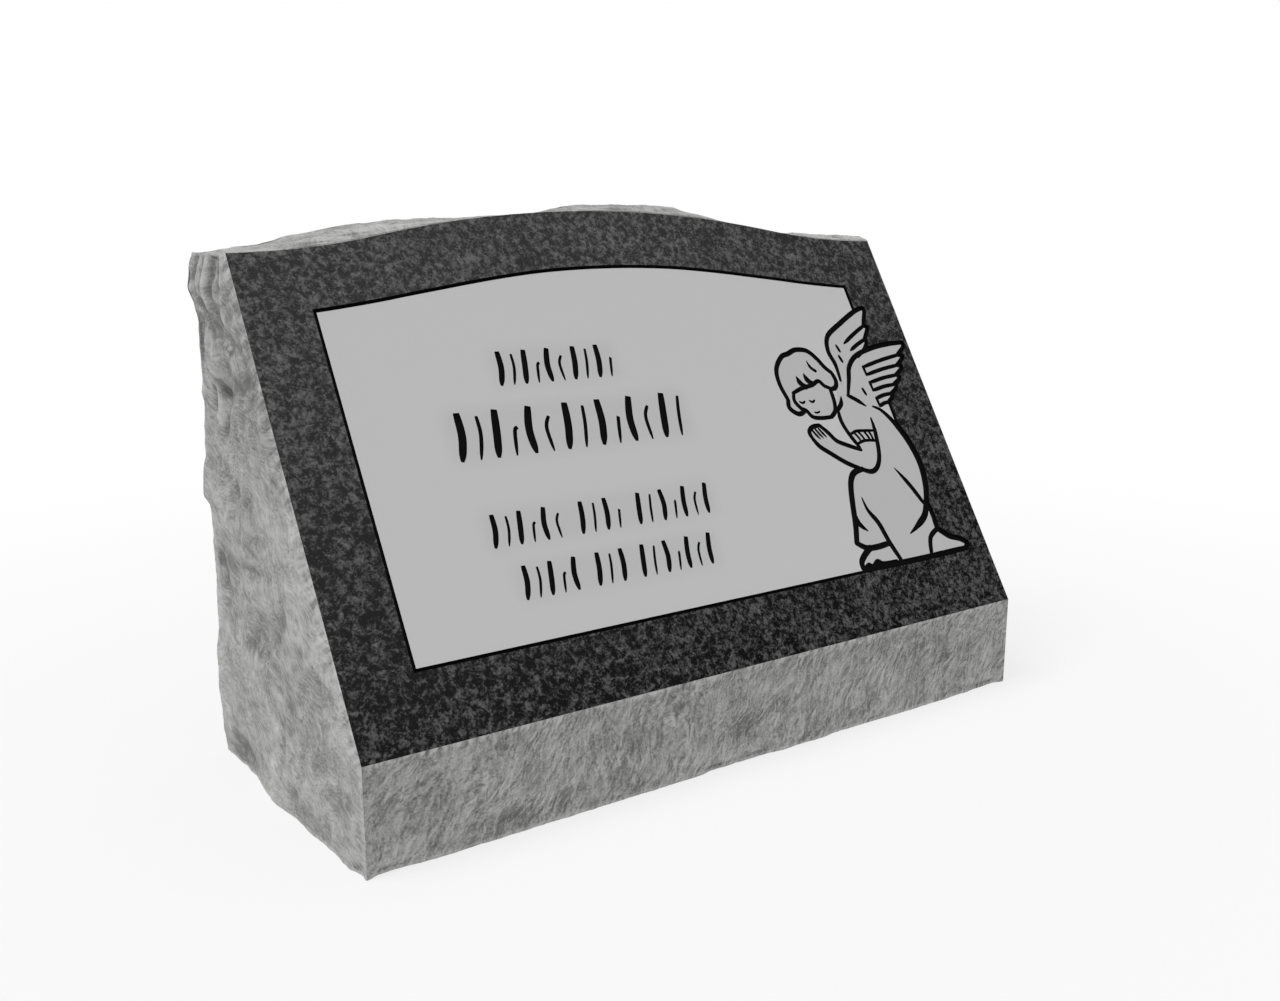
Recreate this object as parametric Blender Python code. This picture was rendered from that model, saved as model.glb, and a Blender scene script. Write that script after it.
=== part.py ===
"""A slant grave marker: one granite block with a sloping polished face, an upright nose and rock-pitched
sides, top and back. The face holds a shallow sunk panel, a kneeling angel in cut outline and four rows of
plain chisel strokes that spell nothing.

Metres. +X runs to the viewer's right, +Y away from the viewer and +Z up. The origin is the centre of the
underside.
"""

import math

import bmesh
import bpy
import numpy as np
from mathutils import Vector, geometry, noise

inch = 0.0254

# The block.
stoneWidth = 24 * inch
stoneDepth = 10 * inch
noseHeight = 3 * inch
slopeRise = 13 * inch
slopeRun = 8 * inch
slantAtCorner = 14.12 * inch
slantAtCrown = 15.4 * inch
crownShare = 0.625

# The panel, its outline and everything cut in it.
panelMargin = 2.02 * inch
# The panel's top is plainer than the stone's: at these shares of its half width it dips under a top
# like the stone's, and then it rises over it up to its corners.
dipShares = (0.2, 0.5)
riseShares = (0.55, 0.95)
shoulderDip = 0.03 * inch
cornerLift = 0.095 * inch
panelSink = 0.03 * inch
outlineWidth = 0.105 * inch
lineWeight = 1.25  # How broad the angel's lines are cut.
strokeSink = 0.08 * inch
smallestIsland = 0.004 * inch * inch

# The rock-pitched sides: how far from a crisp edge the rock is let out, and how rough it is.
pitchLeadIn = 0.55 * inch
pitchStandOff = 0.1 * inch
leastStandOff = 0.02 * inch
scoopSize = 2.4 * inch
scoopDepth = 0.13 * inch
# How far from the left side's back edge its measured outline holds, and where it ends.
edgeBand = (0.2 * inch, 1.3 * inch)

# How finely the rock is divided: along the width, the depth, the nose, the slope and the panel's top.
widthSteps = 36
depthSteps = 11
noseSteps = 5
slopeSteps = 19
panelTopSteps = 32

slope = math.atan2(slopeRise, slopeRun)
noseShare = noseSteps / (noseSteps + slopeSteps)
halfWidth = stoneWidth / 2
panelHalf = halfWidth - panelMargin
panelFoot = panelMargin

# The figure and the rows are drawn in inches for a panel with this margin, corner height and half width.
# The figure's own corner is that far left of the panel's, and drawn points nearer than the weld are one.
drawnMarginShare = 2.02
drawnHeightShare = 10.08
drawnHalfShare = 9.98
figureOffset = 4.98
weldShare = 0.003
cornerHeight = slantAtCorner - 2 * panelMargin
panelScale = min(cornerHeight / inch / drawnHeightShare, panelHalf / inch / drawnHalfShare)
figureScale = min(panelScale, panelMargin / inch / drawnMarginShare)


def faceTop(x):
    """Length of the sloping face at x: a crown arc that turns into a hollow shoulder at each side."""
    t = min(1, abs(x) / halfWidth)
    rise = slantAtCrown - slantAtCorner
    if t < crownShare:
        return slantAtCorner + rise * (1 - t * t / crownShare)
    return slantAtCorner + rise * (1 - t) ** 2 / (1 - crownShare)


def facePoint(x, u, sink=0.0):
    """The point x across and u up the sloping face, sunk below its surface."""
    y = -stoneDepth / 2 + u * math.cos(slope) + sink * math.sin(slope)
    z = noseHeight + u * math.sin(slope) - sink * math.cos(slope)
    return Vector((x, y, z))


def smoothStep(t):
    t = max(0.0, min(1.0, t))
    return t * t * (3 - 2 * t)


def bandShare(x, band):
    """How far x has come smoothly through a band."""
    return smoothStep((x - band[0]) / (band[1] - band[0]))


def between(x, table):
    """A smooth value at x between the pairs of a short table."""
    if x <= table[0][0]:
        return table[0][1]
    for (x0, v0), (x1, v1) in zip(table, table[1:]):
        if x <= x1:
            return v0 + (v1 - v0) * smoothStep((x - x0) / (x1 - x0))
    return table[-1][1]


def bump(p, q, middle, reach, height):
    """A rounded knob, or a hollow where height is negative."""
    away = math.hypot((p - middle[0]) / reach[0], (q - middle[1]) / reach[1])
    return height * math.exp(-away * away)


# Knobs and hollows in inches: (distance back, height up), reach each way, and how far they stand out.
leftLumps = (
    ((9.8, 14.3), (1.3, 0.8), 0.2),
    ((10.2, 8.2), (1.4, 1.0), 0.18),
    ((10.2, 2.2), (1.5, 1.4), 0.12),
    ((5.4, 0.2), (1.2, 1.0), 0.2),
    ((8.6, 10.6), (0.7, 0.8), -0.26),
    ((8.6, 11.9), (0.5, 0.45), 0.12),
    ((9.1, 5.5), (0.6, 0.9), -0.22),
    ((6.0, 4.8), (1.0, 0.6), -0.2),
    ((8.8, 0.3), (1.1, 0.5), -0.14),
    ((4.0, 7.0), (1.6, 1.4), 0.07),
)
# Along the back edge of the left side: heights in inches, and how far the rock stands out there.
leftEdge = (
    (0.0, 0.09),
    (1.0, 0.2),
    (2.0, 0.22),
    (3.0, 0.21),
    (4.0, 0.09),
    (5.0, 0.08),
    (7.6, 0.08),
    (8.0, 0.29),
    (8.5, 0.25),
    (9.2, 0.11),
    (10.0, 0.08),
    (13.1, 0.07),
    (13.5, 0.15),
    (14.0, 0.31),
    (14.5, 0.24),
    (15.0, 0.09),
)
rightLumps = (
    ((9.6, 12.0), (1.3, 1.6), 0.14),
    ((7.0, 8.0), (1.3, 1.1), -0.16),
    ((9.8, 3.4), (1.5, 1.5), 0.16),
    ((4.2, 2.6), (1.2, 1.2), 0.1),
    ((8.4, 6.0), (0.9, 0.8), -0.14),
)
# Across the back, from the left edge.
backLumps = (
    ((3.5, 12.0), (2.2, 1.8), 0.16),
    ((8.5, 6.0), (2.4, 2.2), -0.2),
    ((15.5, 9.5), (2.6, 2.0), 0.14),
    ((20.0, 4.0), (2.0, 2.2), -0.16),
    ((12.5, 2.2), (2.2, 1.4), 0.12),
)
# At shares of the half width, how far in inches the top's rock stands above the polished edge before it.
topLift = (
    (-1.0, 0.0),
    (-0.867, 0.12),
    (-0.767, 0.25),
    (-0.658, 0.28),
    (-0.542, 0.22),
    (-0.417, 0.09),
    (-0.317, -0.02),
    (-0.083, -0.02),
    (0.05, 0.21),
    (0.2, 0.29),
    (0.3, 0.31),
    (0.408, 0.2),
    (0.5, -0.04),
    (0.683, -0.02),
    (0.767, 0.2),
    (0.967, 0.2),
    (1.0, 0.17),
)


def pitched(along, up, seed):
    """Stand-off of rock-pitched granite: hollow scoops that meet in ridges, on a slow swell."""
    spot = Vector((along / scoopSize, up / scoopSize, seed))
    reach = noise.voronoi(spot)[0][0]
    scoop = min(1.0, 1.5 * reach * reach)
    swell = noise.noise(Vector((along / scoopSize * 0.55, up / scoopSize * 0.55, seed + 4.7)))
    return pitchStandOff + scoopDepth * (scoop - 0.35) + 0.8 * scoopDepth * swell


def lumps(along, up, table):
    return inch * sum(bump(along / inch, up / inch, *lump) for lump in table)


def leftRelief(back, up):
    rock = max(leastStandOff, pitched(back, up, 1.3) + lumps(back, up, leftLumps))
    edge = inch * between(up / inch, leftEdge)
    holds, ends = edgeBand
    return rock + (edge - rock) * smoothStep(1 - (stoneDepth - back - holds) / (ends - holds))


def rightRelief(back, up):
    return max(leastStandOff, pitched(back, up, 7.9) + lumps(back, up, rightLumps))


def backRelief(across, up):
    rock = pitched(across, up, 3.1) + lumps(across + halfWidth, up, backLumps)
    return pitchStandOff + (rock - pitchStandOff) * smoothStep((across + halfWidth) / edgeBand[1])


def topRelief(across, back):
    return inch * between(across / halfWidth, topLift) + 0.35 * (pitched(across, back, 5.3) - pitchStandOff)


def stonePoint(a, b, c):
    """Where a corner of the divided cube goes: a across, b from front to back and c from the ground up."""
    x = (a - 0.5) * stoneWidth
    crest = noseHeight + faceTop(x) * math.sin(slope)
    u = faceTop(x) * max(0.0, c - noseShare) / (1 - noseShare)
    z = noseHeight * min(1.0, c / noseShare) + u * math.sin(slope)
    front = u * math.cos(slope) - stoneDepth / 2
    if b == 0:
        return Vector((x, front, z))
    y = front + (stoneDepth / 2 - front) * b**1.25  # The rows crowd a little towards the face.
    back = y + stoneDepth / 2
    fade = smoothStep(0.25 + 0.75 * (y - front) / pitchLeadIn)
    x -= leftRelief(back, z) * fade * (1 - a)
    x += rightRelief(back, z) * fade * a
    y += backRelief(x, z) * b**2.5 * smoothStep(0.3 + 0.7 * z / noseHeight)
    z += topRelief(x, back) * fade * (z / crest) ** 3
    return Vector((x, y, z))


def smooth(points, steps):
    """A curve through the points, with the given number of steps between each pair."""
    count = len(points)
    line = []
    for n in range(count - 1):
        p0, p1, p2, p3 = (np.array(points[min(max(n + m, 0), count - 1)], float) for m in (-1, 0, 1, 2))
        second = 2 * p0 - 5 * p1 + 4 * p2 - p3
        third = 3 * p1 - p0 - 3 * p2 + p3
        for s in range(steps):
            t = s / steps
            line.append(p1 + 0.5 * ((p2 - p0) * t + second * t**2 + third * t**3))
    line.append(np.array(points[-1], float))
    return line


def ribbon(line, width, first=0.35, last=0.35, swell=0.0, capped=False):
    """A closed strip along a line: full width in its middle, the first and last shares of it at its ends."""
    count = len(line)
    left = []
    right = []
    for n, point in enumerate(line):
        way = line[min(n + 1, count - 1)] - line[max(n - 1, 0)]
        side = np.array((-way[1], way[0])) / max(1e-9, math.hypot(*way))
        t = n / (count - 1)
        opening = first + (1 - first) * (5 if first > 0.3 else 2.5) * t
        closing = last + (1 - last) * (5 if last > 0.3 else 2.5) * (1 - t)
        share = min(1.0, opening, closing)
        half = 0.5 * width * (share + swell * math.sin(math.pi * t))
        left.append(point + side * half)
        right.append(point - side * half)
    if capped:
        nose = (line[-1] - line[-2]) / max(1e-9, math.hypot(*(line[-1] - line[-2])))
        tail = (line[0] - line[1]) / max(1e-9, math.hypot(*(line[0] - line[1])))
        left = [line[0] + 0.4 * width * first * tail] + left + [line[-1] + 0.4 * width * last * nose]
    return left + right[::-1]


# The angel is drawn in inches from a corner 5 inches left of the panel's lower right corner.
def wing(leading, tipEnds, rootEnds, feathers, joined, steps):
    """Lines and outline of a wing: its leading edge, then feathers whose rounded tips step inwards.
    Joined ones are closed in pairs at their roots."""
    edge = smooth(leading, steps)
    lines = [(edge, 0.155, 0.6, 0.8)]
    tip, lastTip = (np.array(end, float) for end in tipEnds)
    root, lastRoot = (np.array(end, float) for end in rootEnds)
    down = (lastTip - tip) / math.hypot(*(lastTip - tip))
    bow = np.array((-down[1], down[0])) * 0.16
    rim = []
    roots = []
    notch = edge[-1]
    for n in range(feathers):
        t = (n + 0.3) / feathers
        nextT = (n + 1) / feathers
        end = tip + (lastTip - tip) * t + bow * math.sin(math.pi * t)
        inner = root + (lastRoot - root) * nextT
        along = (end - inner) / math.hypot(*(end - inner))
        nextNotch = tip + (lastTip - tip) * nextT + bow * math.sin(math.pi * nextT)
        nextNotch = nextNotch + (inner - nextNotch) * (0.13 if n < feathers - 1 else 0.1)
        curl = smooth((notch, end + 0.05 * along, end + 0.17 * down + 0.02 * along, nextNotch), steps)
        lines.append((curl, 0.13, 0.8, 0.8))
        middle = (nextNotch + inner) / 2 + (0.02, 0.03)
        lines.append((smooth((nextNotch, middle, inner), steps), 0.12, 0.9, 0.7 if joined else 0.4))
        rim += curl
        notch = nextNotch
        roots.append(inner)
    if joined:
        for upper, lower in zip(roots[::2], roots[1::2]):
            lines.append((smooth((upper, lower), 1), 0.11, 1.0, 0.8))
    return lines, edge + rim


def angel(steps):
    """Every line of the angel as (line, width, share at its start, share at its end), and its fills."""
    lines = []
    fills = []

    def draw(points, width, first=0.4, last=0.4):
        line = smooth(points, steps)
        lines.append((line, width, first, last))
        return line

    # Two wings, the far one behind.
    farEdge = ((3.12, 6.7), (3.16, 7.3), (3.06, 7.85), (3.3, 8.4), (4.1, 8.85), (5.0, 9.28), (5.47, 9.4))
    farEnds = ((5.47, 9.4), (4.7, 7.7)), ((3.75, 8.35), (4.3, 7.5))
    farLines, farFill = wing(farEdge, *farEnds, 3, False, steps)
    nearEdge = ((3.2, 6.1), (3.52, 6.7), (3.78, 7.2), (4.3, 7.58), (5.2, 7.82), (6.1, 7.92), (6.78, 7.92))
    nearEnds = ((6.78, 7.92), (5.0, 5.72)), ((4.4, 7.42), (4.5, 5.6))
    nearLines, nearFill = wing(nearEdge, *nearEnds, 6, True, steps)
    lines += farLines + nearLines
    draw(((3.2, 6.12), (3.55, 5.9), (3.85, 5.66)), 0.14, 0.8, 0.3)
    for x, u in ((3.56, 7.9), (3.5, 7.5), (4.02, 6.2)):
        draw(((x - 0.03, u + 0.12), (x + 0.04, u - 0.12)), 0.1, 0.7, 0.7)
    fills.append(farFill + [np.array((4.3, 7.3)), np.array((3.2, 6.1))])
    fills.append(nearFill + [np.array((4.2, 5.4)), np.array((3.4, 5.4))])

    # Bobbed hair, a fringe, and a bowed face with closed eyes.
    crown = ((0.48, 6.2), (0.36, 6.8), (0.46, 7.34), (0.86, 7.76), (1.2, 7.86), (1.6, 7.98))
    curls = smooth(crown + ((2.1, 7.9), (2.44, 7.54)), steps)
    curls += smooth((curls[-1], (2.62, 7.24), (2.84, 7.02)), steps)
    nape = smooth((curls[-1], (2.9, 6.7), (2.76, 6.46), (2.5, 6.42)), steps)
    temple = smooth((curls[0], (0.42, 5.9), (0.72, 5.66), (1.08, 5.76)), steps)
    lines.append((curls, 0.15, 0.9, 0.9))
    lines.append((nape, 0.15, 0.9, 0.7))
    lines.append((temple, 0.15, 0.9, 0.7))
    draw(((0.8, 6.42), (1.25, 6.56), (1.75, 6.64), (2.1, 6.76), (2.3, 6.56), (2.52, 6.46)), 0.13, 0.8, 0.8)
    for x, u, broad in ((1.44, 6.6, 0.17), (1.8, 6.68, 0.17), (2.14, 7.14, 0.1)):
        draw(((x, u), (x - 0.17, u + 0.16), (x - 0.24, u + 0.42)), broad, 1.0, 0.1)
    face = draw(
        ((0.82, 6.42), (0.74, 6.14), (0.9, 5.86), (1.1, 5.74), (1.28, 5.5), (1.66, 5.42), (2.1, 5.42)),
        0.13,
        0.8,
        0.9,
    )
    jaw = draw(((2.1, 5.42), (2.36, 5.62), (2.48, 5.98), (2.5, 6.42)), 0.14, 0.9, 0.9)
    for x in (1.06, 1.5):
        draw(((x - 0.12, 6.1), (x, 6.03), (x + 0.13, 6.09)), 0.07, 0.5, 0.5)
    draw(((1.42, 5.66), (1.55, 5.63), (1.68, 5.67)), 0.06, 0.5, 0.5)
    fills.append(curls + nape + face[::-1] + temple[::-1])
    fills.append(face + jaw)

    # Neck, chest and back.
    draw(((2.86, 6.1), (2.74, 5.84), (2.46, 5.62)), 0.14, 0.3, 0.8)
    chest = draw(((2.5, 5.66), (2.46, 5.2), (2.6, 4.72), (2.84, 4.22)), 0.14, 0.7, 0.8)
    back = draw(
        ((4.15, 5.62), (4.5, 5.42), (4.88, 4.9), (5.2, 4.16), (5.34, 3.3), (5.2, 2.5), (4.9, 1.86)),
        0.2,
        0.3,
        0.8,
    )

    # Gown: knee, hem and folds.
    knee = draw(
        ((2.6, 3.44), (2.14, 3.34), (1.84, 2.98), (1.6, 2.3), (1.4, 1.6), (1.16, 0.98)),
        0.19,
        0.8,
        0.9,
    )
    hem = draw(((1.16, 0.98), (1.5, 0.76), (1.95, 0.72), (2.5, 0.76)), 0.17, 0.9, 0.9)
    draw(((2.1, 2.46), (2.16, 2.0), (2.42, 1.5), (2.58, 0.8), (2.8, 0.14)), 0.16, 0.25, 0.9)
    draw(((1.5, 2.1), (1.56, 1.62), (1.84, 1.3)), 0.16, 0.6, 0.15)
    draw(((4.06, 3.3), (4.46, 2.64), (4.8, 1.9)), 0.15, 0.2, 0.8)
    draw(((4.98, 2.0), (4.66, 1.5), (4.2, 1.2), (3.66, 0.94)), 0.2, 0.9, 0.15)
    train = draw(((4.96, 1.9), (5.0, 1.4), (4.95, 0.92)), 0.16, 0.8, 0.8)
    rearHem = draw(((4.95, 0.92), (4.5, 0.66), (4.26, 0.1)), 0.15, 0.9, 0.8)
    skirt = [np.array(p) for p in ((4.26, 0.0), (2.5, 0.0), (2.5, 0.76))]
    shoulder = [np.array(p) for p in ((3.85, 5.66), (3.2, 6.12), (3.12, 6.66), (2.84, 6.52))]
    fills.append(chest + knee + hem + skirt[::-1] + rearHem[::-1] + train[::-1] + back[::-1] + shoulder)

    # Sleeve with a gathered band, and the forearm up to joined hands.
    sleeve = draw(
        ((3.86, 5.2), (3.82, 4.7), (3.62, 3.9), (3.34, 3.46), (2.98, 3.3), (2.56, 3.44)),
        0.15,
        0.4,
        0.9,
    )
    under = draw(((2.56, 3.44), (2.0, 3.74), (1.44, 4.16), (1.1, 4.44), (0.92, 4.74)), 0.15, 0.9, 0.8)
    hand = draw(((0.92, 4.74), (0.88, 4.98), (1.08, 5.14), (1.42, 5.18)), 0.14, 0.8, 0.8)
    over = draw(((1.42, 5.18), (1.7, 4.86), (1.92, 4.56), (2.3, 4.36), (2.86, 4.12)), 0.14, 0.8, 0.8)
    bandTop = draw(((2.62, 4.7), (2.95, 4.8), (3.35, 4.78), (3.78, 4.74)), 0.09, 0.8, 0.8)
    bandFoot = draw(((2.8, 4.34), (3.15, 4.42), (3.5, 4.4), (3.72, 4.36)), 0.09, 0.8, 0.8)
    for n in range(4):
        t = (n + 1) / 5
        top = bandTop[round(t * (len(bandTop) - 1))]
        low = bandFoot[round(t * (len(bandFoot) - 1))]
        lines.append((smooth((top, (top + low) / 2 + (0.03, 0), low), 2), 0.08, 1.0, 1.0))
    for n in range(3):
        start = np.array((1.04 + 0.15 * n, 5.02 + 0.02 * n))
        draw((start, start + (0.1, -0.18), start + (0.22, -0.34)), 0.08, 0.9, 0.3)
    fills.append(sleeve + under + hand + over + [np.array((2.7, 4.6)), np.array((3.5, 5.3))])

    # Bare feet on a heavy ground line, the toes of the front one along it.
    frontFoot = draw(((1.66, 0.74), (1.34, 0.56), (1.08, 0.34), (1.04, 0.1)), 0.18, 1.0, 0.9)
    draw(((1.16, 0.12), (1.34, 0.2), (1.5, 0.12), (1.76, 0.26), (2.0, 0.14), (2.6, 0.12)), 0.12, 0.9, 0.9)
    fills.append([np.array(p) for p in ((2.8, 0.1), (2.62, 0.76))] + frontFoot)
    rearFoot = draw(
        ((4.96, 0.92), (5.12, 0.8), (5.4, 0.58), (5.85, 0.42), (6.1, 0.22), (5.98, 0.08)),
        0.17,
        0.9,
        0.9,
    )
    fills.append(rearFoot + rearHem[::-1])
    lines.append((smooth(((1.06, 0.06), (3.5, 0.03), (5.98, 0.06)), 4), 0.17, 0.9, 0.9))
    return lines, fills


# The inscription: the middle, foot, height and width of each row in inches, its strokes' weight, and how many
# marks are in each of its groups.
rows = (
    (-2.96, 9.62, 1.1, 4.3),
    (-2.96, 7.44, 1.48, 8.3),
    (-2.9, 4.84, 0.98, 7.9),
    (-2.9, 3.26, 0.98, 6.9),
)
rowWeights = (0.17, 0.22, 0.15, 0.15)
rowCounts = ((10,), (14,), (6, 4, 7), (5, 3, 7))
groupGapShare = 0.8


def inscription(steps):
    """Leaning chisel strokes in pairs, a broad one and a fine one side by side, with no letter among them."""
    strokes = []
    for (middle, base, height, width), weight, groups in zip(rows, rowWeights, rowCounts):
        pitch = width / (sum(groups) + groupGapShare * (len(groups) - 1))
        x = middle - width / 2 + pitch / 2
        for g, marks in enumerate(groups):
            for n in range(marks):
                pair = n // 2 + 3 * g
                lean = height * (0.16 + 0.05 * math.sin(2.4 * pair))
                bow = height * 0.07 * math.sin(1.9 * pair + 1.1)
                broad = weight if n % 2 == 0 else 0.5 * weight
                drop = 0.0 if n % 2 == 0 else (0.1, 0.42, 0.25)[pair % 3] * height
                low = (x - lean / 2, base)
                middleOf = (x + bow, base + height / 2)
                high = (x + lean / 2, base + height - drop)
                strokes.append(ribbon(smooth((low, middleOf, high), steps), broad, 0.45, 0.9, 0.15))
                x += pitch
            x += groupGapShare * pitch
    return strokes


def placed(points, scale, shift):
    return [(p[0] * scale * inch + shift[0], p[1] * scale * inch + shift[1]) for p in points]


def panelLoop(grow):
    """The panel's outline, grown all round: square feet, upright sides and a plainer top than the stone's."""
    half = panelHalf + grow
    loop = [(-half, panelFoot - grow), (half, panelFoot - grow)]
    for n in range(panelTopSteps + 1):
        share = 1 - 2 * n / panelTopSteps
        rise = (cornerLift + shoulderDip) * bandShare(abs(share), riseShares)
        lift = rise - shoulderDip * bandShare(abs(share), dipShares)
        loop.append((half * share, faceTop(half * share) - panelMargin + lift + grow))
    return loop


def insideOf(spots, polygon):
    """Which spots a closed polygon winds round."""
    ring = np.array(polygon, float)
    turns = np.zeros(len(spots), int)
    for (x0, y0), (x1, y1) in zip(ring, np.roll(ring, -1, axis=0)):
        side = (x1 - x0) * (spots[:, 1] - y0) - (spots[:, 0] - x0) * (y1 - y0)
        turns += ((y0 <= spots[:, 1]) & (y1 > spots[:, 1]) & (side > 0)).astype(int)
        turns -= ((y1 <= spots[:, 1]) & (y0 > spots[:, 1]) & (side < 0)).astype(int)
    return turns != 0


def withoutSlivers(corners, level, flat):
    """Levels with every scrap too small to stand cut away, and no two floors met at a bare corner."""
    level = level.copy()
    beside = {}
    around = {}
    for t, triangle in enumerate(corners):
        for a, b in zip(triangle, np.roll(triangle, -1)):
            beside[int(a), int(b)] = t
            around.setdefault(int(a), []).append(t)
    first, second, third = (flat[corners[:, n]] for n in range(3))
    area = 0.5 * np.abs(np.cross(second - first, third - first))
    for _ in range(3):
        seen = set()
        for start in range(len(corners)):
            if start in seen or level[start] == 2:
                continue
            patch = [start]
            seen.add(start)
            for t in patch:
                for a, b in zip(corners[t], np.roll(corners[t], -1)):
                    other = beside.get((int(b), int(a)))
                    if other is not None and other not in seen and level[other] == level[start]:
                        seen.add(other)
                        patch.append(other)
            if area[patch].sum() < smallestIsland:
                level[patch] = 2
        for v, fan in around.items():
            runs = fanRuns(v, fan, corners, beside, level)
            shallow = [run for run in runs if level[run[0]] != 2]
            if len(runs) > 3 and len(shallow) > 1:
                level[min(shallow, key=lambda run: area[run].sum())] = 2
    return level


def fanRuns(v, fan, corners, beside, level):
    """The triangles round a corner in order, split where the level changes."""
    def follows(t):
        a = [int(n) for n in corners[t]]
        return beside.get((v, a[(a.index(v) + 2) % 3]))

    ring = [fan[0]]
    while len(ring) < len(fan):
        after = follows(ring[-1])
        if after is None or after == ring[0]:
            return []
        ring.append(after)
    starts = [n for n in range(len(ring)) if level[ring[n]] != level[ring[n - 1]]]
    if not starts:
        return []
    ends = starts[1:] + [starts[0] + len(ring)]
    return [[ring[n % len(ring)] for n in range(a, b)] for a, b in zip(starts, ends)]


def fewerTriangles(flat, corners, level):
    """The same floors divided again with only their borders as lines."""
    beside = {}
    for triangle, depth in zip(corners, level):
        for a, b in zip(triangle, np.roll(triangle, -1)):
            beside[int(a), int(b)] = int(depth)
    border = {pair: depth for pair, depth in beside.items() if beside.get(pair[::-1]) != depth}
    kept = sorted({v for pair in border for v in pair})
    number = {v: n for n, v in enumerate(kept)}
    border = {(number[a], number[b]): depth for (a, b), depth in border.items()}
    flat = flat[kept]
    spots = [Vector(p / inch) for p in flat]
    _, _, corners, *_ = geometry.delaunay_2d_cdt(spots, list(border), [], 0, 1e-6)
    sides = {}
    for t, (a, b, c) in enumerate(corners):
        for pair in ((a, b), (b, c), (c, a)):
            sides[pair] = t
    level = {}
    for pair, depth in border.items():
        level[sides[pair]] = depth
    reached = list(level)
    for t in reached:
        a, b, c = corners[t]
        for pair in ((b, a), (c, b), (a, c)):
            other = sides.get(pair)
            if other is not None and other not in level and pair not in border and pair[::-1] not in border:
                level[other] = level[t]
                reached.append(other)
    order = sorted(level)
    return flat, np.array([corners[t] for t in order]), [level[t] for t in order]


def faceFloors(rim):
    """The sloping face inside its rim, divided into flat floors: their corners, triangles and levels."""
    lines, fills = angel(2)
    figureShift = (panelHalf - figureOffset * inch * figureScale, panelFoot)
    rowShift = (0.0, panelFoot - drawnMarginShare * inch * panelScale)
    figure = [placed(fill, figureScale, figureShift) for fill in fills]
    cuts = [
        placed(ribbon(line, lineWeight * width, *ends, capped=True), figureScale, figureShift)
        for line, width, *ends in lines
    ]
    cuts += [placed(stroke, panelScale, rowShift) for stroke in inscription(2)]
    outer = panelLoop(outlineWidth / 2)
    inner = panelLoop(-outlineWidth / 2)

    spots = []
    edges = []
    for polygon in [rim, outer, inner, *figure, *cuts]:
        start = len(spots)
        spots += [Vector((x / inch, u / inch)) for x, u in polygon]
        edges += [(start + n, start + (n + 1) % len(polygon)) for n in range(len(polygon))]
    flat, _, corners, *_ = geometry.delaunay_2d_cdt(spots, edges, [], 0, weldShare)
    flat = np.array([tuple(spot) for spot in flat]) * inch
    corners = np.array(corners, int)
    middles = flat[corners].mean(axis=1)

    # Level 0 is the polished face, 1 the panel's floor and 2 the floor of every stroke.
    level = np.zeros(len(corners), int)
    level[insideOf(middles, outer)] = 2
    level[insideOf(middles, inner)] = 1
    for fill in figure:
        level[insideOf(middles, fill)] = 1
    for cut in cuts:
        level[insideOf(middles, cut)] = 2
    kept = insideOf(middles, rim)
    corners = corners[kept]
    level = withoutSlivers(corners, level[kept], flat)
    return fewerTriangles(flat, corners, level)


def engrave(block, rim):
    """Fill the open front of the block with its cut face: floors at their depths, walls between."""
    flat, corners, level = faceFloors(rim)
    sinks = (0.0, panelSink, strokeSink)
    point = {}
    beside = {}
    for triangle, depth in zip(corners, level):
        for a, b in zip(triangle, np.roll(triangle, -1)):
            point.setdefault((a, depth), None)
            beside[a, b] = depth
    for v, depth in point:
        point[v, depth] = block.verts.new(facePoint(*flat[v], sinks[depth]))
    for triangle, depth in zip(corners, level):
        block.faces.new([point[v, depth] for v in triangle])
    for (a, b), depth in beside.items():
        lower = beside.get((b, a), depth)
        if lower > depth:
            # The wall takes in the corner of any floor between that meets it.
            down = [point[a, n] for n in range(depth, lower + 1) if (a, n) in point]
            up = [point[b, n] for n in range(lower, depth - 1, -1) if (b, n) in point]
            block.faces.new(down + up)


def stoneBlock():
    """The uncut block: a cube divided by planes, whose corners are then moved to the stone's own shape."""
    block = bmesh.new()
    bmesh.ops.create_cube(block, size=1)
    bmesh.ops.translate(block, verts=block.verts, vec=(0.5, 0.5, 0.5))
    for axis, count in enumerate((widthSteps, depthSteps, noseSteps + slopeSteps)):
        normal = Vector([float(axis == n) for n in range(3)])
        for n in range(1, count):
            everything = block.verts[:] + block.edges[:] + block.faces[:]
            bmesh.ops.bisect_plane(block, geom=everything, plane_co=normal * n / count, plane_no=normal)
    front = [face for face in block.faces if face.normal.y < -0.5]
    sloping = [face for face in front if face.calc_center_median().z > noseShare]
    nose = [face for face in front if face not in sloping]
    under = [face for face in block.faces if face.normal.z < -0.5]
    for flat in (under, nose, sloping):
        region = bmesh.ops.dissolve_faces(block, faces=flat, use_verts=False)["region"]
    for corner in block.verts:
        corner.co = stonePoint(*corner.co)
    return block, region[0]


def granite():
    """Grey granite, as dark as the polished face and the pale rock come to together."""
    material = bpy.data.materials.new("granite")
    material.use_nodes = True
    shader = material.node_tree.nodes["Principled BSDF"]
    shader.inputs["Base Color"].default_value = (0.2, 0.2, 0.198, 1)
    shader.inputs["Metallic"].default_value = 0
    shader.inputs["Roughness"].default_value = 0.55
    return material


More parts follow.
